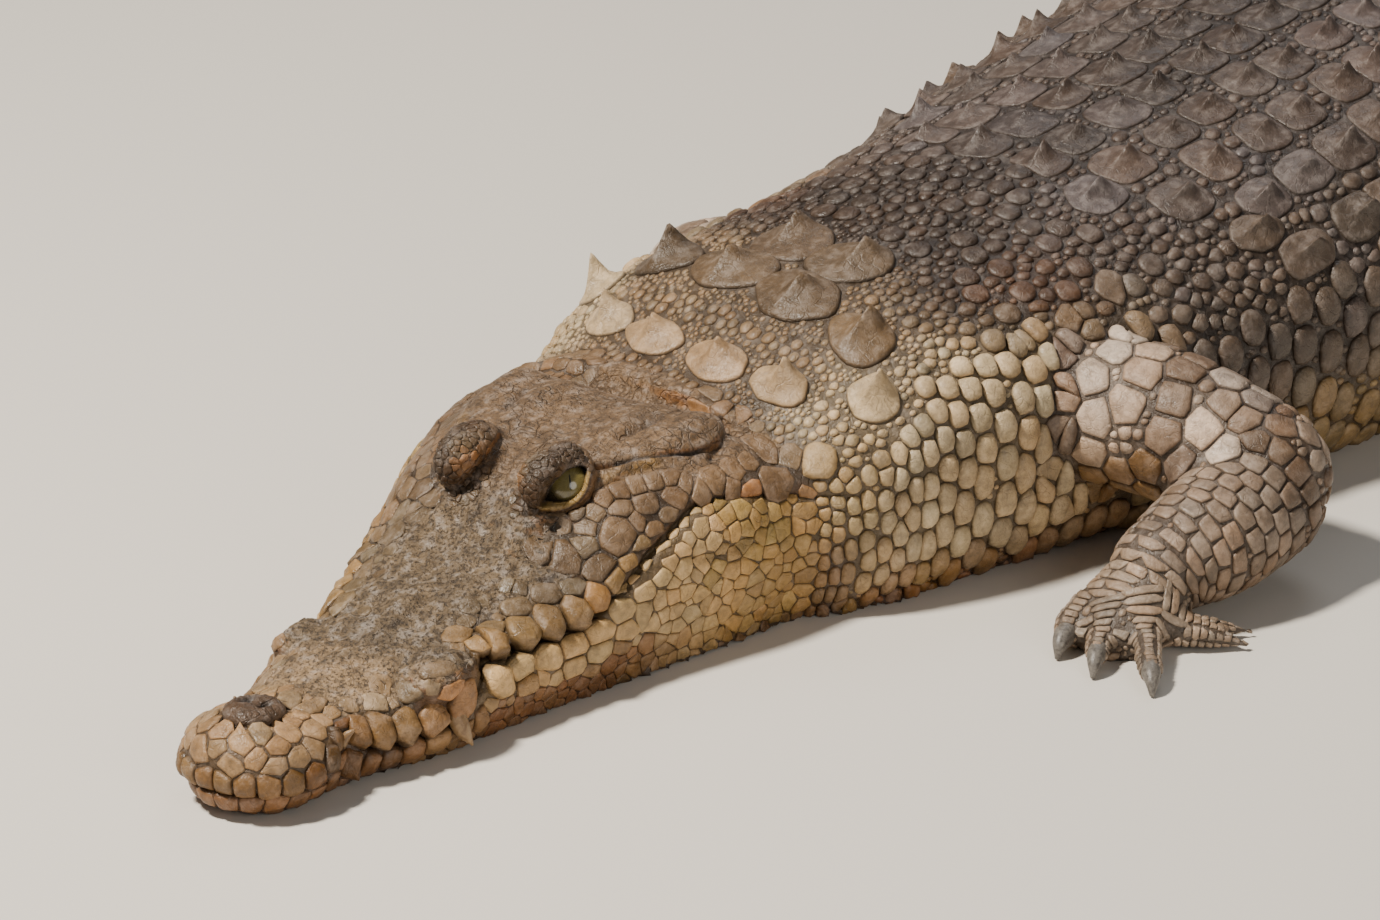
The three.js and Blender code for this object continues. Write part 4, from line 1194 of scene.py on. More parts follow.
def skinCandidates(count):
    # places spread evenly over the skin
    quad = np.array([len(f) == 4 for f in skinFaces])
    fourth = np.array([f[-1] for f in skinFaces])
    triangles = np.concatenate([firstThree, np.stack([firstThree[quad, 0], firstThree[quad, 2], fourth[quad]], 1)])
    a, b, c = (skinCo[triangles[:, k]] for k in range(3))
    area = lengthsOf(np.cross(b - a, c - a))
    pick = rng.choice(len(triangles), count, p=area / area.sum())
    u, v = rng.random(count), rng.random(count)
    flip = u + v > 1
    u[flip], v[flip] = 1 - u[flip], 1 - v[flip]
    points = a[pick] + (b - a)[pick] * u[:, None] + (c - a)[pick] * v[:, None]
    normal = skinNo[triangles[pick]].mean(1)
    return points, normal / lengthsOf(normal)[:, None]


def gathered():
    return {key: np.concatenate(value) for key, value in coat.items()}


def thinOut(points, radius, spacing=1.75):
    # keeps points no closer than their sizes allow, taken in their given order
    tree = treeOf(points)
    alive = np.ones(len(points), bool)
    chosen = []
    for i, p in enumerate(points.tolist()):
        if alive[i]:
            chosen.append(i)
            for _, j, _ in tree.find_range(p, radius[i] * spacing):
                alive[j] = False
    return np.array(chosen)


def clearOf(points, radius, margin=1.0):
    # true where a scale of this radius fits between the ones already rooted
    have = gathered()
    tree = treeOf(have["place"])
    near = np.array([[n[1] for n in tree.find_n(p, 6)] for p in points.tolist()])
    offset = points[:, None, :] - have["place"][near]
    lie = have["lie"][near]
    along = (offset * lie).sum(2)
    across = np.sqrt(np.maximum((offset**2).sum(2) - along**2, 0))
    a, b = have["long"][near] + radius[:, None] * margin, have["wide"][near] + radius[:, None] * margin
    corner = np.where(np.isin(have["kind"][near], squareKinds), 7.0, 2.6)
    return (np.abs(along / a) ** corner + np.abs(across / b) ** corner > 1).all(1)


def plateSize(points):
    # size of the head's plates from place to place
    back, side, height, _ = bothSides(points)
    gap = height - lipHeight(back)
    size = np.full(len(points), 4.4)
    size = np.where(back < 58, 5.0, size)
    size = np.where((gap > 8) & (back > 195) & (back < 265) & (height < 84), 6.6, size)  # cheek under the eye
    size = np.where((gap > 0) & (back > 265) & (height < 90), 5.4, size)
    size = np.where((gap < 0) & (height < 26) & (back > 90), 3.7, size)
    size = np.where((gap < 0) & (back > 255) & (height > 30), 3.9, size)
    size = np.where((gap > 0) & (back > 318) & (side > 74), 9.0, size)
    along, up, out = eyeCoords(points)
    lidGap = openingGap(along, up)
    near = (lidGap < 16) & (out > 0)
    size = np.where(near & (belowEye(along, up) < 0.5), 1.25, size)
    size = np.where((lidGap < 9) & (out > 0) & (belowEye(along, up) >= 0.5), 2.6, size)
    size = np.where(height < 7, np.minimum(size, 3.4), size)
    return size * (1 + 0.16 * rng.standard_normal(len(points)).clip(-1.3, 1.6))


# rounded blocks of the lips and cheek, at [back, side, height, half length, half height, relief]; both sides get them
faceBlocks = [
    # upper lip: round the snout's tip, then the four that hang over the front teeth, then those behind the notch
    (1, 5, 20, 5.4, 5.4, 2.4), (3, 15, 20, 5.4, 5.6, 2.6), (9, 24, 20, 5.6, 5.8, 2.8), (18.5, 30, 20, 5.6, 6, 3.0),
    (30, 33, 21, 6.2, 6.2, 3.0), (43, 34, 23.5, 6.4, 6.4, 3.2), (53, 32, 28, 4.6, 6.0, 2.4),
    (67, 32, 27, 5.6, 7.6, 4.2), (78.5, 37, 25, 5.8, 8.2, 4.4), (91, 42, 23.5, 6.4, 8.4, 4.6),
    (105, 47, 25, 7.4, 9.2, 4.8), (121, 52, 29, 8.2, 8.8, 4.2), (155, 47, 45.5, 8.4, 9.6, 5.2),
    (172.5, 51, 44.5, 8.6, 8.6, 5.2), (188.5, 56, 44.5, 7.0, 8.4, 4.8), (202.5, 60, 45.5, 6.8, 8.2, 4.6),
    (216, 64, 50, 6.6, 6.6, 3.0), (227.5, 67, 54.5, 5.6, 5.4, 2.0), (237.5, 70, 60, 5.4, 5.0, 1.6),
    (246.5, 71, 66.5, 5.0, 4.6, 1.4), (256, 73, 72, 5.0, 4.4, 1.2), (266, 75, 77, 5.0, 4.4, 1.2),
    # row above the lip
    (146, 44, 58, 6.6, 5.0, 2.0), (162, 45, 58, 7.2, 5.0, 2.0), (178, 48, 57, 7.0, 5.0, 2.0),
    (194, 53, 57, 7.0, 5.0, 1.8), (208, 58, 58, 6.6, 5.0, 1.6), (112, 45, 39, 8.0, 5.0, 2.2),
    (96, 38, 38, 7.0, 4.6, 1.6), (82, 33, 38, 6.4, 4.6, 1.2),
    # lower jaw: tip, mounds between the teeth, and the big blocks behind the notch
    (1, 6, 9, 6, 4.6, 1.8), (6, 16, 9, 6, 4.6, 2.0), (15, 23, 8.5, 6, 4.8, 2.0), (26, 27, 8, 6, 4.6, 2.0),
    (38, 29, 8.5, 6, 4.6, 1.8), (49, 30, 10, 5.4, 5.0, 2.0), (62, 31, 13, 6.2, 8.0, 4.2),
    (74, 34, 8.5, 5.4, 6.4, 3.0), (84.5, 38, 8.5, 5.6, 6.0, 3.0), (96, 43, 8.5, 6.2, 6.2, 3.0),
    (109, 48, 9, 6.8, 6.0, 2.8), (134, 54, 13, 5.4, 6.4, 2.6), (149, 54, 27.5, 7.4, 8.2, 4.6),
    (164, 56, 31, 7.4, 5.4, 3.8), (167, 58, 20.5, 6.6, 4.8, 2.6), (181, 60, 29.5, 7.4, 6.4, 3.8),
    (197, 63, 31, 7.6, 5.2, 3.2), (196, 65, 20.5, 7.2, 5.2, 2.0), (213, 67, 34, 8.4, 5.2, 3.0),
    (212, 69, 23.5, 7.4, 5.4, 1.6), (228, 70, 40, 7.0, 5.4, 2.2), (230, 72, 29.5, 7.0, 5.2, 1.4),
    (241, 74, 46, 5.8, 4.8, 1.4), (252, 77, 51, 5.2, 4.4, 1.2),
    # swellings in a row under the ear, then the scute at the jaw's corner
    (247.5, 48, 84.5, 4.6, 4.6, 1.6), (255.5, 51, 86.5, 4.7, 4.6, 1.9), (264, 55, 87.5, 4.7, 4.6, 1.9),
    (272.5, 59, 87.5, 4.7, 4.4, 1.7), (281, 64, 87.5, 4.7, 4.4, 1.4), (239.5, 48, 79.5, 4.8, 4.8, 1.2),
    (250, 55, 79.5, 5.8, 4.9, 1.5), (261.5, 62, 80, 5.8, 4.9, 1.5), (357, 101, 77, 8, 11, 4.0),
]


def plantFace():
    rows = np.array(faceBlocks, float)
    rises = rows[:, 2] > lipHeight(rows[:, 0])
    slope = np.where(rises, -0.55, 0.1) * (rows[:, 5] > 2.6)
    # the right lip is flatter behind the snout's tip
    isTip = rows[:, 0] < 35
    for side, kind, which, share in ((1, "block", rows[:, 0] > -1, 1.0), (-1, "block", isTip, 1.0),
                                     (-1, "headPlate", ~isTip, 0.3)):
        spot, normal, _ = onSkin(rows[which, :3] * [-1, side, 1] - [0, 0, 1.5 * (share < 1)])
        level = np.cross([0.0, 0.0, 1.0], normal)
        addRoots(kind, spot, level, rows[which, 3] * 1.04, rows[which, 4] * 1.04, rows[which, 5] * share,
                 slope[which] * (share == 1), 0.03)


def settle(points, sites, size, fixed, fixedSize, rounds=3):
    # moves each site to the middle of the points nearest to it; returns the sites and the radius of their cells
    density = len(points)
    allSize = np.concatenate([size, fixedSize])
    for _ in range(rounds):
        tree = treeOf(np.concatenate([sites, fixed]))
        owner = np.empty(density, int)
        for k, p in enumerate(points.tolist()):
            owner[k] = min(tree.find_n(p, 3), key=lambda n: n[2] / allSize[n[1]])[1]
        count = np.bincount(owner, minlength=len(allSize))[:len(sites)]
        total = np.stack([np.bincount(owner, points[:, k], len(allSize))[:len(sites)] for k in range(3)], 1)
        held = count > 3
        sites[held] = total[held] / count[held, None]
    return onSkin(sites)[0], count


def plantHead():
    plantFace()
    points, normals = skinCandidates(candidates["head"])
    headDensity = candidates["head"] / skinArea
    run = bodyAt(points)[0]
    ok = (run < 366) & ~((points[:, 2] < 2.6) & (normals[:, 2] < -0.35))
    points, normals = points[ok], normals[ok]
    along, up, out = eyeCoords(points)
    lidGap = openingGap(along, up)
    onLid = (out > 0) & (lidGap < np.where(belowEye(along, up) > 0.5, 5.8, 1.6))
    mouth = np.abs(points[:, 2] - lipHeight(-points[:, 0])) < 1.5
    cover = plateCover(points, normals)
    brow = (out > 0) & (lidGap < 16) & (belowEye(along, up) < 0.5) & (along < 13)
    cover = np.where(brow, 1.0, cover)
    ok = ~onLid & ~(mouth & (points[:, 0] > -300) & (np.abs(normals[:, 2]) < 0.9)) & (cover > 0.2)
    points, normals, cover = points[ok], normals[ok], cover[ok]
    size = plateSize(points) * (0.55 + 0.45 * cover)
    faceCount = len(faceBlocks) * 2
    sites, halves, covers = [], [], []
    for share in (1.0, 0.68):
        fits = np.nonzero(clearOf(points, size * share, 0.8) & (size * share > 1.0))[0]
        chosen = fits[thinOut(points[fits], size[fits] * share, 1.66)]
        half = size[chosen] * share
        sites.append(points[chosen])
        halves.append(half)
        covers.append(cover[chosen])
        addRoots("headPlate", points[chosen], np.tile([-1.0, 0, 0], (len(half), 1)), half, half, 1.0)
    for key in coat:
        del coat[key][-2:]
    have = gathered()
    sites, half, cover = np.concatenate(sites), np.concatenate(halves), np.concatenate(covers)
    fixed = have["place"][-faceCount:]
    free = clearOf(points, size * 0.0, 0.0)
    sites, count = settle(points[free], sites, half, fixed, np.sqrt(have["long"] * have["wide"])[-faceCount:])
    half = np.clip(np.sqrt(count / headDensity / math.pi), half * 0.75, half * 1.45)
    onPad = (onPadAt(-sites[:, 0], sites[:, 1]) < 1.15) & (sites[:, 2] > 34)
    # no crumbs of scales between the blocks by the big tooth
    crumb = (half < 3.6) & (np.abs(sites[:, 0] + 122) < 22) & (np.abs(sites[:, 1]) > 38) & (sites[:, 2] > 10)
    notch = (np.abs(sites[:, 0] + 131) < 14) & (np.abs(sites[:, 1]) > 41) & (sites[:, 2] - lipHeight(-sites[:, 0]) > -6)
    kept = ~onPad & ~crumb & ~notch
    sites, half, cover = sites[kept], half[kept], cover[kept]
    high = (0.34 + 0.17 * half) * np.where(half > 5.2, 0.8, 1.0) * (0.25 + 0.75 * cover)
    stretch = rng.uniform(0.88, 1.14, len(half))
    addRoots("headPlate", sites, np.tile([-1.0, 0, 0], (len(half), 1)), half * stretch, half / stretch, high)


def plantBeads():
    points, normals = skinCandidates(candidates["beads"])
    isBare = ~((points[:, 2] < 1.5) & (normals[:, 2] < -0.6))
    run = bodyAt(points)[0]
    ok = isBare & (run > 362)
    points, run = points[ok], run[ok]
    for key in ("first", "small"):
        size = np.interp(run, beadSizes["at"], beadSizes[key])
        radius = size * (1 + 0.2 * rng.standard_normal(len(size)).clip(-1.5, 1.5))
        fits = clearOf(points, radius, 0.92)
        pick = np.nonzero(fits)[0]
        chosen = pick[thinOut(points[pick], radius[pick], 1.6)]
        lie = behindOf(points[chosen])
        addRoots("bead", points[chosen], lie, radius[chosen] * 1.1, radius[chosen] * 0.92,
                 0.4 + 0.34 * radius[chosen])


plantBody()
report("body scales rooted")
plantLimbs()
report("limb scales rooted")
plantHead()
report("head plates rooted")
plantBeads()
coat = gathered()
report(f"{len(coat['place'])} scales rooted")


# ---- the scales themselves
def rimsOf(index, kind, neighbours):
    # how far each scale reaches each way before it meets its neighbours, in its own half lengths; the ways it is
    # measured in are turned to the nearest corner
    around, power, square = kind["around"], kind["power"], kind["square"]
    fine = 1 if kind is scaleKinds["scute"] or power < 15 else 5
    angles = (np.arange(around * fine) - (fine - 1) / 2) / (around * fine) * 2 * math.pi
    place, lie, across = coat["place"], coat["lie"], coat["across"]
    long, wide = coat["long"], coat["wide"]
    near = neighbours[index][:, :kind.get("reach", 16)]
    offset = place[near] - place[index][:, None]
    du = (offset * lie[index][:, None]).sum(2) / long[index][:, None]
    dv = (offset * across[index][:, None]).sum(2) / wide[index][:, None]
    q = np.hypot(du, dv) + 1e-6
    duN = (offset * lie[near]).sum(2) / long[near]
    dvN = (offset * across[near]).sum(2) / wide[near]
    qN = np.hypot(duN, dvN) + 1e-6
    offsetAt = np.maximum(q * qN / (q + qN), 0.12)
    facing = (coat["normal"][near] * coat["normal"][index][:, None]).sum(2) > 0.1
    turn = np.arctan2(dv, du)
    own = kind["cap"] * (np.abs(np.cos(angles)) ** square + np.abs(np.sin(angles)) ** square) ** (-1 / square)
    total = np.tile(own ** -float(power), (len(index), 1))
    for k in range(near.shape[1]):
        reach = np.maximum(np.cos(angles[None] - turn[:, k:k + 1]), 0) / offsetAt[:, k:k + 1]
        total += facing[:, k:k + 1] * reach**power
    rim = (total ** (-1.0 / power)).reshape(len(index), around, fine)
    best = rim.argmax(2)[..., None]
    rim = np.take_along_axis(rim, best, 2)[..., 0]
    angles = np.broadcast_to(angles.reshape(1, around, fine), (len(index), around, fine))
    angles = np.take_along_axis(angles, best, 2)[..., 0]
    size = np.hypot(np.cos(angles) * long[index][:, None], np.sin(angles) * wide[index][:, None]) * rim
    return rim * np.clip(1 - kind["gap"] * 0.5 / size, 0.4, 1), angles


def makeScales():
    place, normal, _ = onSkin(coat["place"])
    coat["place"], coat["normal"] = place, normal
    lie = coat["lie"] - (coat["lie"] * normal).sum(1)[:, None] * normal
    length = lengthsOf(lie)
    weak = length < 0.15
    lie[weak] = np.cross(normal[weak], [0.0, 1.0, 0.0])
    lie /= lengthsOf(lie)[:, None]
    coat["lie"], coat["across"] = lie, np.cross(normal, lie)
    tree = treeOf(place)
    neighbours = np.array([[n[1] for n in tree.find_n(p, 57)][1:] for p in place.tolist()], np.int32)
    report("neighbours found")
    isLimb, which, share = regionOf(place)
    run, _, angle = bodyAt(place)
    colour = paint(place, normal, isLimb, which, share)
    # each scale lighter or darker at random, plus the painted light and shade of the large scutes
    shade = 1 + 0.07 * rng.standard_normal(len(place)).clip(-2, 2) + coat["bright"]
    warm = 0.04 * rng.standard_normal(len(place)).clip(-2, 2)
    colour = colour * shade[:, None] * (1 + np.stack([warm, 0 * warm, -warm], 1))
    along = limbRows[which, 10] + share * limbRows[which, 11]
    toLimb = place - limbStart[which] - share[:, None] * limbSpan[which]
    limbTurn = np.arctan2(toLimb[:, 2], toLimb[:, 1]) / (2 * math.pi) + 0.5
    regions = {
        "scalesHead": (~isLimb & (run < 366), run / 380, angle / (2 * math.pi) + 0.5),
        "scalesNeck": (~isLimb & (run >= 366) & (run < 590), (run - 360) / 240, angle / (2 * math.pi) + 0.5),
        "scalesTrunkFront": (~isLimb & (run >= 590) & (run < 860), (run - 580) / 290, angle / (2 * math.pi) + 0.5),
        "scalesTrunkRear": (~isLimb & (run >= 860) & (run < 1190), (run - 850) / 350, angle / (2 * math.pi) + 0.5),
        "scalesTail": (~isLimb & (run >= 1190), (run - 1180) / 1220, angle / (2 * math.pi) + 0.5),
        "scalesForelegs": (isLimb & (limbRows[which, 8] < 2), along / 300 * 0.7 + 0.06 * limbRows[which, 12],
                           (limbRows[which, 8] + limbTurn) / 2),
        "scalesHindlegs": (isLimb & (limbRows[which, 8] >= 2), along / 400 * 0.7 + 0.06 * limbRows[which, 12],
                           (limbRows[which, 8] - 2 + limbTurn) / 2),
    }
    made = []
    for name, (inside, u, v) in regions.items():
        parts = []
        for code, kind in enumerate(kindNames):
            index = np.nonzero(inside & (coat["kind"] == code))[0]
            if len(index):
                parts.append(scaleMeshes(index, scaleKinds[kind], neighbours, colour, np.clip(u, 0.01, 0.99),
                                         np.clip(v, 0.01, 0.99), kind == "block"))
        made.append(joinParts(name, parts))
    return made


def scaleMeshes(index, kind, neighbours, colour, u, v, isBlock):
    around, rings = kind["around"], kind["rings"]
    rim, angles = rimsOf(index, kind, neighbours)
    long, wide = coat["long"][index], coat["wide"][index]
    high, keel = coat["high"][index], coat["keel"][index]
    places, lifts, spikes, domes, uvs = [], [], [], [], []
    root = np.stack([u[index], v[index]], 1)
    for share, lift in rings + [(0.0, 1.0)]:
        steps = around if share > 0 else 1
        reach = share * (rim if share > 0 else rim[:, :1] * 0)
        across = np.sin(angles[:, :steps]) * reach
        along = np.cos(angles[:, :steps]) * reach
        p = (coat["place"][index][:, None] + coat["lie"][index][:, None] * (along * long[:, None])[..., None]
             + coat["across"][index][:, None] * (across * wide[:, None])[..., None])
        level = lift * high[:, None] * (1 + (keel[:, None] * across if isBlock else 0.16 * along))
        rise = np.clip((along + 0.85) / 1.05, 0, 1) ** 1.4 * np.clip((0.82 - along) / 0.55, 0, 1)
        ridge = 0.4 * np.exp(-np.abs(across / 0.12) ** 1.2) + 0.65 * np.exp(-np.abs(across / 0.36) ** 1.5)
        spikes.append(keel[:, None] * ridge * rise * (lift > 0 and not isBlock))
        if share == 1.0:
            level = np.full_like(level, -3.0 if isBlock else -0.7)
        places.append(p)
        lifts.append(level)
        domes.append(np.full(level.shape, 1 - share))
        patch = np.stack([np.cos(angles[:, :steps]), np.sin(angles[:, :steps])], 2) * 0.0015 * share
        uvs.append(root[:, None] + patch)
    p, level, spike, dome, uv = (np.concatenate(x, 1) for x in (places, lifts, spikes, domes, uvs))
    count, size = p.shape[:2]
    own = np.repeat(coat["normal"][index], size, 0)
    spot, normal, far = onSkin(p.reshape(-1, 3))
    # a corner thrown onto another fold is drawn in towards its root
    root3 = np.repeat(coat["place"][index], size, 0)
    for _ in range(2):
        lost = (far > 0.45 * lengthsOf(p.reshape(-1, 3) - root3) + 0.8) | ((normal * own).sum(1) < 0.2)
        if lost.any() and not isBlock:
            drawn = root3[lost] + (p.reshape(-1, 3)[lost] - root3[lost]) * 0.55
            p.reshape(-1, 3)[lost] = drawn
            spot[lost], normal[lost], far[lost] = onSkin(drawn)
    if isBlock:
        drop = np.minimum(((spot - p.reshape(-1, 3)) * own).sum(1), 0) * (far < 4)
        spot, normal = p.reshape(-1, 3) + own * drop[:, None], own.copy()
    normal = normal * 0.7 + own * 0.3
    normal /= lengthsOf(normal)[:, None]
    co = spot + normal * level.reshape(-1, 1) + (normal * 0.55 + [0, 0, 0.6]) * spike.reshape(-1, 1)
    co[:, 2] = np.maximum(co[:, 2], 0.0)
    faces = []
    for ring in range(len(rings) - 1):
        a = ring * around + np.arange(around)
        b = ring * around + (np.arange(around) + 1) % around
        faces.append(np.stack([a, b, b + around, a + around], 1))
    quads = np.concatenate(faces)
    last = (len(rings) - 1) * around
    fan = np.stack([last + np.arange(around), last + (np.arange(around) + 1) % around,
                    np.full(around, len(rings) * around)], 1)
    base = np.arange(around)[::-1]
    return {"co": co, "count": count, "size": size, "quads": quads, "fan": fan, "base": base,
            "tint": np.repeat(colour[index], size, 0), "dome": dome.reshape(-1), "uv": uv.reshape(-1, 2)}


def joinParts(name, parts):
    co, tint, dome, uv = (np.concatenate([p[key] for p in parts]) for key in ("co", "tint", "dome", "uv"))
    loops, sizes, start = [], [], 0
    for p in parts:
        shift = start + np.arange(p["count"])[:, None, None] * p["size"]
        for faces in (p["quads"], p["fan"], p["base"][None]):
            block = (faces[None] + shift).reshape(-1, faces.shape[1])
            loops.append(block.ravel())
            sizes.append(np.full(len(block), faces.shape[1]))
        start += p["count"] * p["size"]
    loops, sizes = np.concatenate(loops), np.concatenate(sizes)
    mesh = bpy.data.meshes.new(name)
    mesh.vertices.add(len(co))
    mesh.vertices.foreach_set("co", toFrame(co).astype(np.float32).ravel())
    mesh.loops.add(len(loops))
    mesh.loops.foreach_set("vertex_index", loops.astype(np.int32))
    mesh.polygons.add(len(sizes))
    starts = np.concatenate([[0], np.cumsum(sizes)[:-1]])
    mesh.polygons.foreach_set("loop_start", starts.astype(np.int32))
    shadeSmooth(mesh)
    mesh.update(calc_edges=True)
    mesh.validate()
    layer = mesh.uv_layers.new(name="OFBake")
    layer.data.foreach_set("uv", uv[loops].astype(np.float32).ravel())
    storeColour(mesh, tint, dome)
    piece = bpy.data.objects.new(name, mesh)
    bpy.context.scene.collection.objects.link(piece)
    report(f"{name}: {int((sizes - 2).sum())} triangles")
    return piece


scalePieces = makeScales()


# ---- crest of the tail, in two rows that run together into one
crestShape = {"thick": 2.7, "sunk": 7.0, "lean": 0.25, "steps": 7, "around": 14, "shade": 0.25,
              "double": (1215, 1655, 38.0), "single": (1672, 2330, 34.0)}


def crestBlades():
    # distance along the tail, offset to the left, height and length of each blade
    blades = []
    for run in np.arange(*crestShape["double"]):
        share = (run - 1215) / 440
        for side in (1, -1):
            blades.append((run, side * (52 - 44 * share), 9 + 12 * share, 27))
    for run in np.arange(*crestShape["single"]):
        share = (run - 1672) / 660
        blades.append((run, 0.0, 25 - 16 * share, 26 - 6 * share))
    return blades


def makeCrest():
    bm = bmesh.new()
    colours, domes = [], []
    for run, offset, high, length in crestBlades():
        centre, left = midPoint(np.array([run]))
        centre, left = centre[0], left[0]
        behind = np.array([-left[1], left[0], 0])
        width, top, waist = readTable(bodySections, np.array([run]))[0][:3]
        inward = min(0.95, abs(offset) / width)
        ground = waist + (top - waist) * math.sqrt(1 - inward**2)
        rings = []
        for step in range(crestShape["steps"] + 1):
            rise = step / crestShape["steps"]
            thick = crestShape["thick"] * (1 - rise) ** 0.6 + 0.5
            half = length * 0.54 * (1 - rise**1.25 * 0.72)
            middle = length * 0.20 * rise**1.4
            height = ground - crestShape["sunk"] + rise * (high + crestShape["sunk"])
            lean = np.sign(offset) * high * crestShape["lean"] * rise
            turn = np.linspace(0, 2 * math.pi, crestShape["around"], endpoint=False)
            flat = (np.array([*centre, 0]) + behind * (middle + half * np.cos(turn))[:, None]
                    + np.array([*left, 0]) * (offset + lean + thick * np.sign(np.sin(turn))
                                              * np.abs(np.sin(turn)) ** 0.7)[:, None])
            flat[:, 2] = height - 0.10 * high * rise * np.cos(turn) ** 2
            rings.append(flat)
        before = len(bm.verts)
        addTube(bm, toFrame(rings))
        bm.verts.ensure_lookup_table()
        base = paint(np.array([[*centre, ground + 6]]), np.array([[0, 0, 1.0]]), np.zeros(1, bool), np.zeros(1, int),
                     np.zeros(1))[0] * rng.uniform(0.82, 1.0)
        for v in list(bm.verts)[before:]:
            rise = fromFrame(v.co[:])[2] - ground
            colours.append(base * (1.0 + crestShape["shade"] * max(0, rise / high)))
            domes.append(float(np.clip(rise / 4, 0.06, 1)))
    piece = newMesh("tailCrest", bm)
    storeColour(piece.data, np.array(colours), np.array(domes))
    shadeSmooth(piece.data)
    return piece


tailCrest = makeCrest()
report("crest")

# ---- eyes, teeth and claws
gaze = {"forward": 0.62, "left": 0.60, "up": 0.49, "iris": 0.74, "pupil": 0.034, "pupilHeight": 0.3,
        "irisDark": (0.05, 0.036, 0.01, 1), "irisPale": (0.2, 0.165, 0.05, 1), "rim": (0.018, 0.013, 0.008, 1),
        "slit": (0.004, 0.003, 0.002, 1), "roughness": 0.16, "wet": 0.6, "wetRoughness": 0.08}
# each tooth as distance behind the snout's tip, to the side, length and radius
teethShape = {"upper": [(119.0, 55.5, 10.5, 4.5)], "lower": [(60, 31.5, 4.5, 2.4)], "sides": 12}
clawShape = {"root": 5.0, "length": 12.5, "sides": 14}


def makeEye(name, side):
    bm = bmesh.new()
    out = Vector((gaze["forward"], side * gaze["left"], gaze["up"])).normalized()
    up = (Vector((0, 0, 1)) - out * out.z).normalized()
    across = up.cross(out)
    turn = Matrix((across, up, out)).transposed().to_4x4()
    centre = Vector(toFrame(eyeCentre * [-1, side, 1]))
    bmesh.ops.create_uvsphere(bm, u_segments=48, v_segments=32, radius=eyeShape["radius"] * mm,
                              matrix=Matrix.Translation(centre) @ turn)
    piece = newMesh(name, bm)
    co = coordsOf(piece.data) - np.array(centre)
    local = co @ np.array([across, up, out]).T / (eyeShape["radius"] * mm)
    layer = piece.data.attributes.new("gaze", "FLOAT_VECTOR", "POINT")
    layer.data.foreach_set("vector", local.astype(np.float32).ravel())
    shadeSmooth(piece.data)
    return piece


def makeTeeth():
    bm = bmesh.new()
    for table, rise in ((teethShape["upper"], -1), (teethShape["lower"], 1)):
        for back, half, length, radius in table:
            lip = float(lipHeight([back])[0])
            for side in (1, -1):
                path = [[-back + 1.5, side * (half - 4.5), lip - rise * 7, radius],
                        [-back, side * (half - 0.8), lip + rise * length * 0.25, radius * 0.95],
                        [-back - length * 0.28, side * (half + 2.6), lip + rise * length, 0.8]]
                addTube(bm, toFrame(limbRings(path, sides=teethShape["sides"], along=5)))
    piece = newMesh("teeth", bm)
    shadeSmooth(piece.data)
    return piece


def makeClaws():
    made = {}
    for name, leg in legs.items():
        for k, digit in enumerate(leg["digits"][:3]):
            before, end = np.array(digit[1][:3], float), np.array(digit[2][:3], float)
            ahead = (end - before) * [1, 1, 0]
            ahead /= np.linalg.norm(ahead)
            root = clawShape["root"] * (1.15 if k == 0 else 1.0) * (1.0 if name.startswith("fore") else 1.1)
            path = [[*(end - ahead * 3.0 + [0, 0, 0.4]), root], [*(end + ahead * 3.5 + [0, 0, 0.6]), root * 0.92],
                    [*(end + ahead * 9.0 - [0, 0, 1.4]), root * 0.66],
                    [*(end + ahead * clawShape["length"])[:2], 2.0, 1.5]]
            bm = bmesh.new()
            addTube(bm, toFrame(limbRings(path, sides=clawShape["sides"], along=6, flatten=1.08)))
            for v in bm.verts:
                v.co.z = max(v.co.z, 0.0002)
            node = ("fore_" if name.startswith("fore") else "hind_") + ("left" if "Left" in name else "right")
            piece = newMesh(f"claw_{name}_{k + 1}", bm)
            shadeSmooth(piece.data)
            made[f"claw_{node}_{k + 1}"] = piece
    return made


eyeLeft, eyeRight = makeEye("eyeLeft", 1), makeEye("eyeRight", -1)
teeth, claws = makeTeeth(), makeClaws()
report("eyes, teeth and claws")


# ---- finishes
def nodeGroup(name, inputs, outputs):
    tree = bpy.data.node_groups.new(name, "ShaderNodeTree")
    for kind, socket, value in inputs:
        made = tree.interface.new_socket(socket, in_out="INPUT", socket_type="NodeSocket" + kind)
        if value is not None:
            made.default_value = value
    for kind, socket in outputs:
        tree.interface.new_socket(socket, in_out="OUTPUT", socket_type="NodeSocket" + kind)
    return tree, tree.nodes.new("NodeGroupInput"), tree.nodes.new("NodeGroupOutput")


def addNode(tree, kind, values=None, **settings):
    node = tree.nodes.new("ShaderNode" + kind)
    for key, value in settings.items():
        setattr(node, key, value)
    for key, value in (values or {}).items():
        if isinstance(value, bpy.types.NodeSocket):
            tree.links.new(value, node.inputs[key])
        else:
            node.inputs[key].default_value = value
    return node


hideGrain = {"mottle": 150.0, "patches": 45.0, "specks": 520.0, "pores": 1900.0, "cracks": 150.0, "fineCracks": 430.0,
             "grey": (0.34, 0.31, 0.29, 1), "dirtAndShade": (0.036, 0.024, 0.015, 1), "scaleDepth": 0.0009,
             "skinDepth": 0.0013, "specular": 0.5}


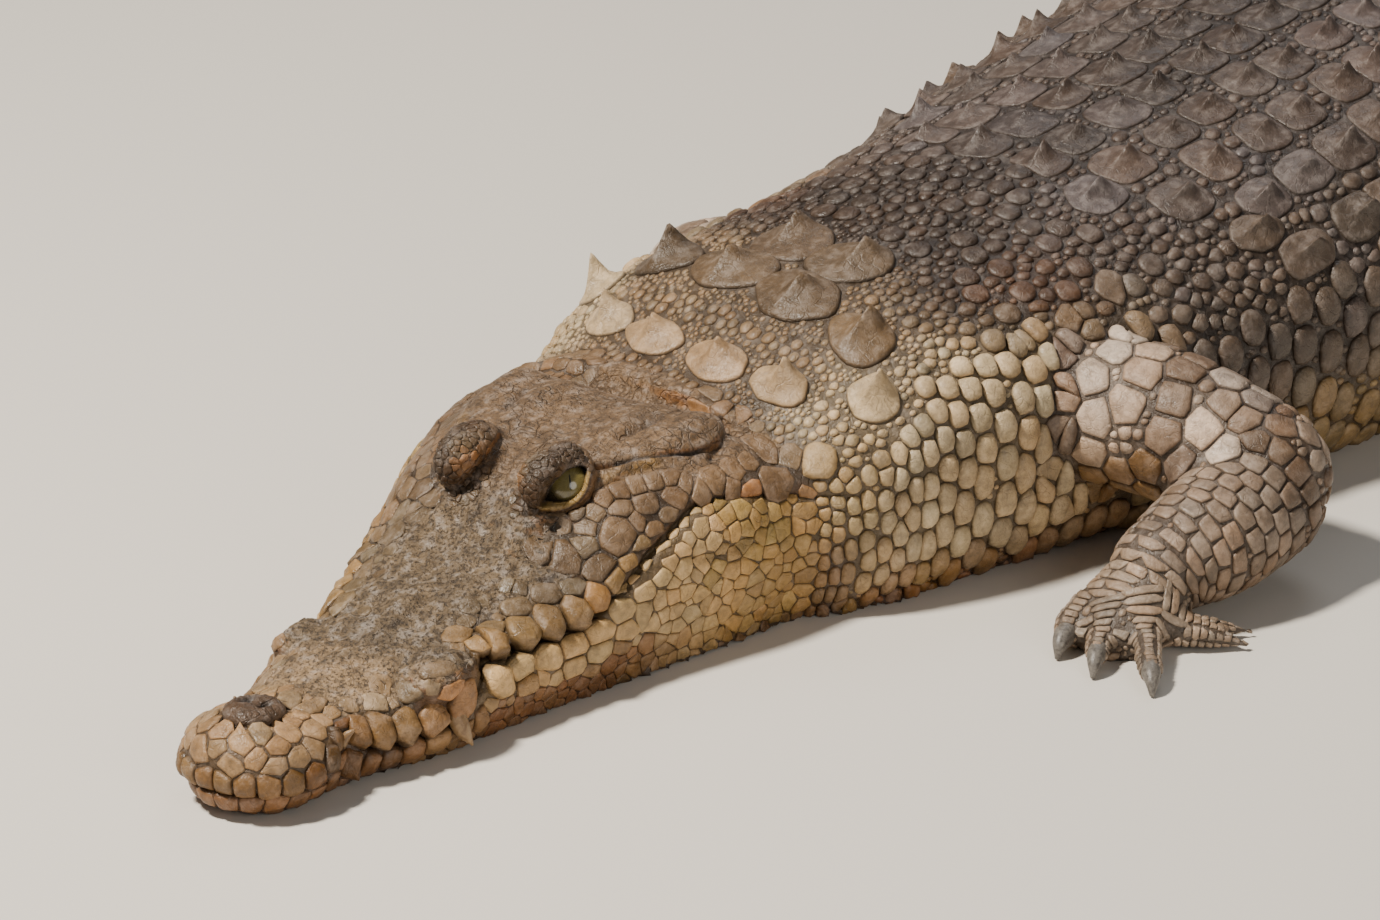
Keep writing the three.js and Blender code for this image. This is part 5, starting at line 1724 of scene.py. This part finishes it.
def hideGroup():
    # colour and relief that every scaly surface shares; bare skin has the deeper cracks and pits, and the colour is
    # darkened with painted shade in the cracks and round the rim of each scale
    tree, into, out = nodeGroup("hideGrain", [
        ("Color", "Tint", (0.3, 0.25, 0.2, 1)), ("Float", "Dome", 0.5),
        ("Float", "Bare", 0.0)], [("Color", "Colour"), ("Float", "Height"),
                                            ("Float", "Rough")])
    bare = into.outputs["Bare"]

    def ranged(value, low, high, first=0.0, last=1.0):
        return addNode(tree, "MapRange", {"Value": value, "From Min": low, "From Max": high, "To Min": first,
                                                    "To Max": last}).outputs["Result"]

    def sums(kind, a, b, c=None):
        values = {0: a, 1: b} if c is None else {0: a, 1: b, 2: c}
        return addNode(tree, "Math", values, operation=kind).outputs[0]

    def noise(where, scale, detail, rough=0.6):
        return addNode(tree, "TexNoise", {"Vector": where, "Scale": scale, "Detail": detail,
                                                    "Roughness": rough})

    place = addNode(tree, "TexCoord").outputs["Object"]
    stir = noise(place, 85.0, 2.0).outputs["Color"]
    bent = addNode(tree, "VectorMath", {0: stir, 1: (0.012, 0.012, 0.012), 2: place},
                   operation="MULTIPLY_ADD").outputs[0]
    mottle = noise(place, hideGrain["mottle"], 5.0, 0.62).outputs["Fac"]
    patches = noise(place, hideGrain["patches"], 5.0, 0.6).outputs["Fac"]
    specks = noise(place, hideGrain["specks"], 4.0, 0.62).outputs["Fac"]
    pores = noise(place, hideGrain["pores"], 2.0).outputs["Fac"]
    large, small = (addNode(tree, "TexVoronoi", {"Vector": bent, "Scale": hideGrain[size]},
                            feature="DISTANCE_TO_EDGE") for size in ("cracks", "fineCracks"))
    # lines of the cracks, broken up from place to place
    broken = ranged(noise(place, 60.0, 3.0).outputs["Fac"], 0.40, 0.58, 0.15, 1.0)
    crackA = sums("MULTIPLY", ranged(large.outputs["Distance"], 0.0, 0.085, 1.0, 0.0), broken)
    crackB = ranged(small.outputs["Distance"], 0.0, 0.13, 1.0, 0.0)
    amount = sums("MULTIPLY_ADD", bare, sums("MULTIPLY_ADD", bare, -2.05, 2.2), 0.3)
    deepA = sums("MULTIPLY", crackA, amount)
    deepB = sums("MULTIPLY", crackB, ranged(bare, 0.0, 1.0, 0.25, 0.42))
    pits = sums("MULTIPLY", ranged(specks, 0.53, 0.62), ranged(bare, 0.2, 1.0, 0.22, 1.0))
    # colour
    toned = addNode(tree, "VectorMath", {0: into.outputs["Tint"]}, operation="SCALE")
    tone = sums("MULTIPLY", ranged(mottle, 0.3, 0.72, 0.62, 1.34), ranged(patches, 0.3, 0.7, 0.78, 1.2))
    tree.links.new(tone, toned.inputs["Scale"])
    faded = sums("MULTIPLY", ranged(mottle, 0.5, 0.68), sums("MULTIPLY_ADD", bare, 0.3, 0.2))
    greyer = addNode(tree, "Mix", {"Factor": faded, 6: toned.outputs[0], 7: hideGrain["grey"]},
                     data_type="RGBA").outputs[2]
    # darkening: the hide's own dark specks and mottle, and painted shade in the cracks and round each scale's rim
    dirtAndShade = sums("MULTIPLY", pits, 0.85)
    for more in (sums("MULTIPLY", deepA, 0.72), sums("MULTIPLY", deepB, 0.45),
                 sums("MULTIPLY", ranged(mottle, 0.47, 0.34), sums("MULTIPLY", bare, 0.6)),
                 ranged(into.outputs["Dome"], 0.0, 0.07, 0.85, 0.0)):
        dirtAndShade = sums("MAXIMUM", dirtAndShade, more)
    dirtAndShadeMix = addNode(tree, "Mix", {"Factor": dirtAndShade, 6: greyer, 7: hideGrain["dirtAndShade"]}, data_type="RGBA")
    tree.links.new(dirtAndShadeMix.outputs[2], out.inputs["Colour"])
    # relief
    relief = sums("MULTIPLY_ADD", pores, 0.12, sums("MULTIPLY", mottle, 0.5))
    for cut, depth in ((deepA, 0.9), (deepB, 0.35), (pits, 0.6)):
        relief = sums("SUBTRACT", relief, sums("MULTIPLY", cut, depth))
    tree.links.new(relief, out.inputs["Height"])
    tree.links.new(sums("MULTIPLY_ADD", bare, 0.22, ranged(mottle, 0.3, 0.7, 0.34, 0.58)), out.inputs["Rough"])
    return tree


def hideMaterial(name, group, depth):
    material, tree, shader = newMaterial(name)
    grain = addNode(tree, "Group", node_tree=group)
    for attribute, result, socket in (("tint", "Color", "Tint"), ("dome", "Fac", "Dome"), ("bare", "Fac", "Bare")):
        source = addNode(tree, "Attribute", attribute_name=attribute)
        tree.links.new(source.outputs[result], grain.inputs[socket])
    tree.links.new(grain.outputs["Colour"], shader.inputs["Base Color"])
    tree.links.new(grain.outputs["Rough"], shader.inputs["Roughness"])
    bump = addNode(tree, "Bump", {"Strength": 0.8, "Distance": depth, "Height": grain.outputs["Height"]})
    tree.links.new(bump.outputs["Normal"], shader.inputs["Normal"])
    shader.inputs["Specular IOR Level"].default_value = hideGrain["specular"]
    return material


grainGroup = hideGroup()
scaleFinish = hideMaterial("scaleFinish", grainGroup, hideGrain["scaleDepth"])
skinFinish = hideMaterial("skinFinish", grainGroup, hideGrain["skinDepth"])
skin.data.materials.clear()
skin.data.materials.append(skinFinish)
for piece in scalePieces:
    piece.data.materials.append(scaleFinish)
tailCrest.data.materials.append(scaleFinish)


def hornGroup():
    # streaks and stains along claws and teeth
    tree, into, out = nodeGroup("hornGrain", [
        ("Color", "Pale", (0.3, 0.27, 0.22, 1)), ("Color", "Deep", (0.05, 0.045, 0.04, 1)),
        ("Float", "Scale", 300.0)], [("Color", "Colour"), ("Float", "Height")])
    place = addNode(tree, "TexCoord").outputs["Object"]
    streak = addNode(tree, "TexNoise", {"Vector": place, "Scale": into.outputs["Scale"], "Detail": 6.0,
                                                  "Roughness": 0.65, "Distortion": 0.8})
    fine = addNode(tree, "TexNoise", {"Vector": place, "Scale": 1600.0, "Detail": 3.0})
    share = addNode(tree, "MapRange", {"Value": streak.outputs["Fac"], "From Min": 0.35, "From Max": 0.68})
    mixed = addNode(tree, "Mix", {"Factor": share.outputs["Result"], 6: into.outputs["Deep"],
                                            7: into.outputs["Pale"]}, data_type="RGBA")
    tree.links.new(mixed.outputs[2], out.inputs["Colour"])
    total = addNode(tree, "Math", {0: fine.outputs["Fac"], 1: streak.outputs["Fac"]}, operation="ADD")
    tree.links.new(total.outputs[0], out.inputs["Height"])
    return tree


hornLook = {
    "clawFinish": {"pale": (0.2, 0.18, 0.155), "deep": (0.06, 0.052, 0.045), "scale": 420.0, "rough": 0.42},
    "toothFinish": {"pale": (0.34, 0.22, 0.11), "deep": (0.16, 0.09, 0.04), "scale": 260.0, "rough": 0.34},
}


def hornMaterial(name, group, pale, deep, scale, rough):
    material, tree, shader = newMaterial(name)
    grain = addNode(tree, "Group", node_tree=group)
    grain.inputs["Pale"].default_value, grain.inputs["Deep"].default_value = (*pale, 1), (*deep, 1)
    grain.inputs["Scale"].default_value = scale
    tree.links.new(grain.outputs["Colour"], shader.inputs["Base Color"])
    bump = addNode(tree, "Bump", {"Strength": 0.35, "Distance": 0.0004, "Height": grain.outputs["Height"]})
    tree.links.new(bump.outputs["Normal"], shader.inputs["Normal"])
    shader.inputs["Roughness"].default_value = rough
    return material


def eyeMaterial():
    material, tree, shader = newMaterial("eyeFinish")
    attribute = addNode(tree, "Attribute", attribute_name="gaze")
    split = addNode(tree, "SeparateXYZ", {"Vector": attribute.outputs["Vector"]})
    x, y = split.outputs["X"], split.outputs["Y"]

    def fromMiddle(right, above):
        flat = addNode(tree, "CombineXYZ", {"X": right, "Y": above}).outputs[0]
        return addNode(tree, "VectorMath", {0: flat}, operation="LENGTH").outputs["Value"]

    radius = fromMiddle(x, y)
    angle = addNode(tree, "Math", {0: y, 1: x}, operation="ARCTAN2").outputs[0]
    ray = addNode(tree, "CombineXYZ", {"X": angle, "Y": radius}).outputs[0]
    ray = addNode(tree, "Mapping", {"Vector": ray, "Scale": (9.0, 1.3, 1.0)}).outputs[0]
    threads = addNode(tree, "TexNoise", {"Vector": ray, "Scale": 2.4, "Detail": 5.0, "Roughness": 0.7})
    gold = addNode(tree, "ValToRGB", {"Fac": threads.outputs["Fac"]})
    gold.color_ramp.elements[0].position, gold.color_ramp.elements[1].position = 0.3, 0.72
    gold.color_ramp.elements[0].color = gaze["irisDark"]
    gold.color_ramp.elements[1].color = gaze["irisPale"]
    rim = addNode(tree, "MapRange", {"Value": radius, "From Min": gaze["iris"] - 0.24,
                                               "From Max": gaze["iris"], "To Min": 0.0, "To Max": 0.93})
    ringed = addNode(tree, "Mix", {"Factor": rim.outputs["Result"], 6: gold.outputs["Color"],
                                             7: gaze["rim"]}, data_type="RGBA")
    # slit: narrow across, long up and down
    across = addNode(tree, "Math", {0: x, 1: 1.0 / gaze["pupil"]}, operation="MULTIPLY").outputs[0]
    upright = addNode(tree, "Math", {0: y, 1: 1.0 / gaze["pupilHeight"]}, operation="MULTIPLY").outputs[0]
    slit = fromMiddle(across, upright)
    inside = addNode(tree, "MapRange", {"Value": slit, "From Min": 0.85, "From Max": 1.1, "To Min": 1.0,
                                                  "To Max": 0.0})
    final = addNode(tree, "Mix", {"Factor": inside.outputs["Result"], 6: ringed.outputs[2],
                                            7: gaze["slit"]}, data_type="RGBA")
    tree.links.new(final.outputs[2], shader.inputs["Base Color"])
    for socket, value in (("Roughness", "roughness"), ("Coat Weight", "wet"), ("Coat Roughness", "wetRoughness")):
        shader.inputs[socket].default_value = gaze[value]
    return material


eyeFinish = eyeMaterial()
hornGrain = hornGroup()
clawFinish, toothFinish = (hornMaterial(name, hornGrain, **look) for name, look in hornLook.items())
for piece in (eyeLeft, eyeRight):
    piece.data.materials.append(eyeFinish)
teeth.data.materials.append(toothFinish)
for piece in claws.values():
    piece.data.materials.append(clawFinish)
report("finishes")

hideNodes = [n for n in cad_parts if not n.startswith(("eye", "claw"))]
for piece in [skin, tailCrest] + scalePieces:
    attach(piece, "root")
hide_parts(*hideNodes)
for piece, node in ((eyeLeft, "eye_left"), (eyeRight, "eye_right")):
    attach(piece, "root")
    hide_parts(node)
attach(teeth, "root")
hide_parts("head_upper")
for node, piece in claws.items():
    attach(piece, "root")
    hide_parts(node)

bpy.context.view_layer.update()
report("done")
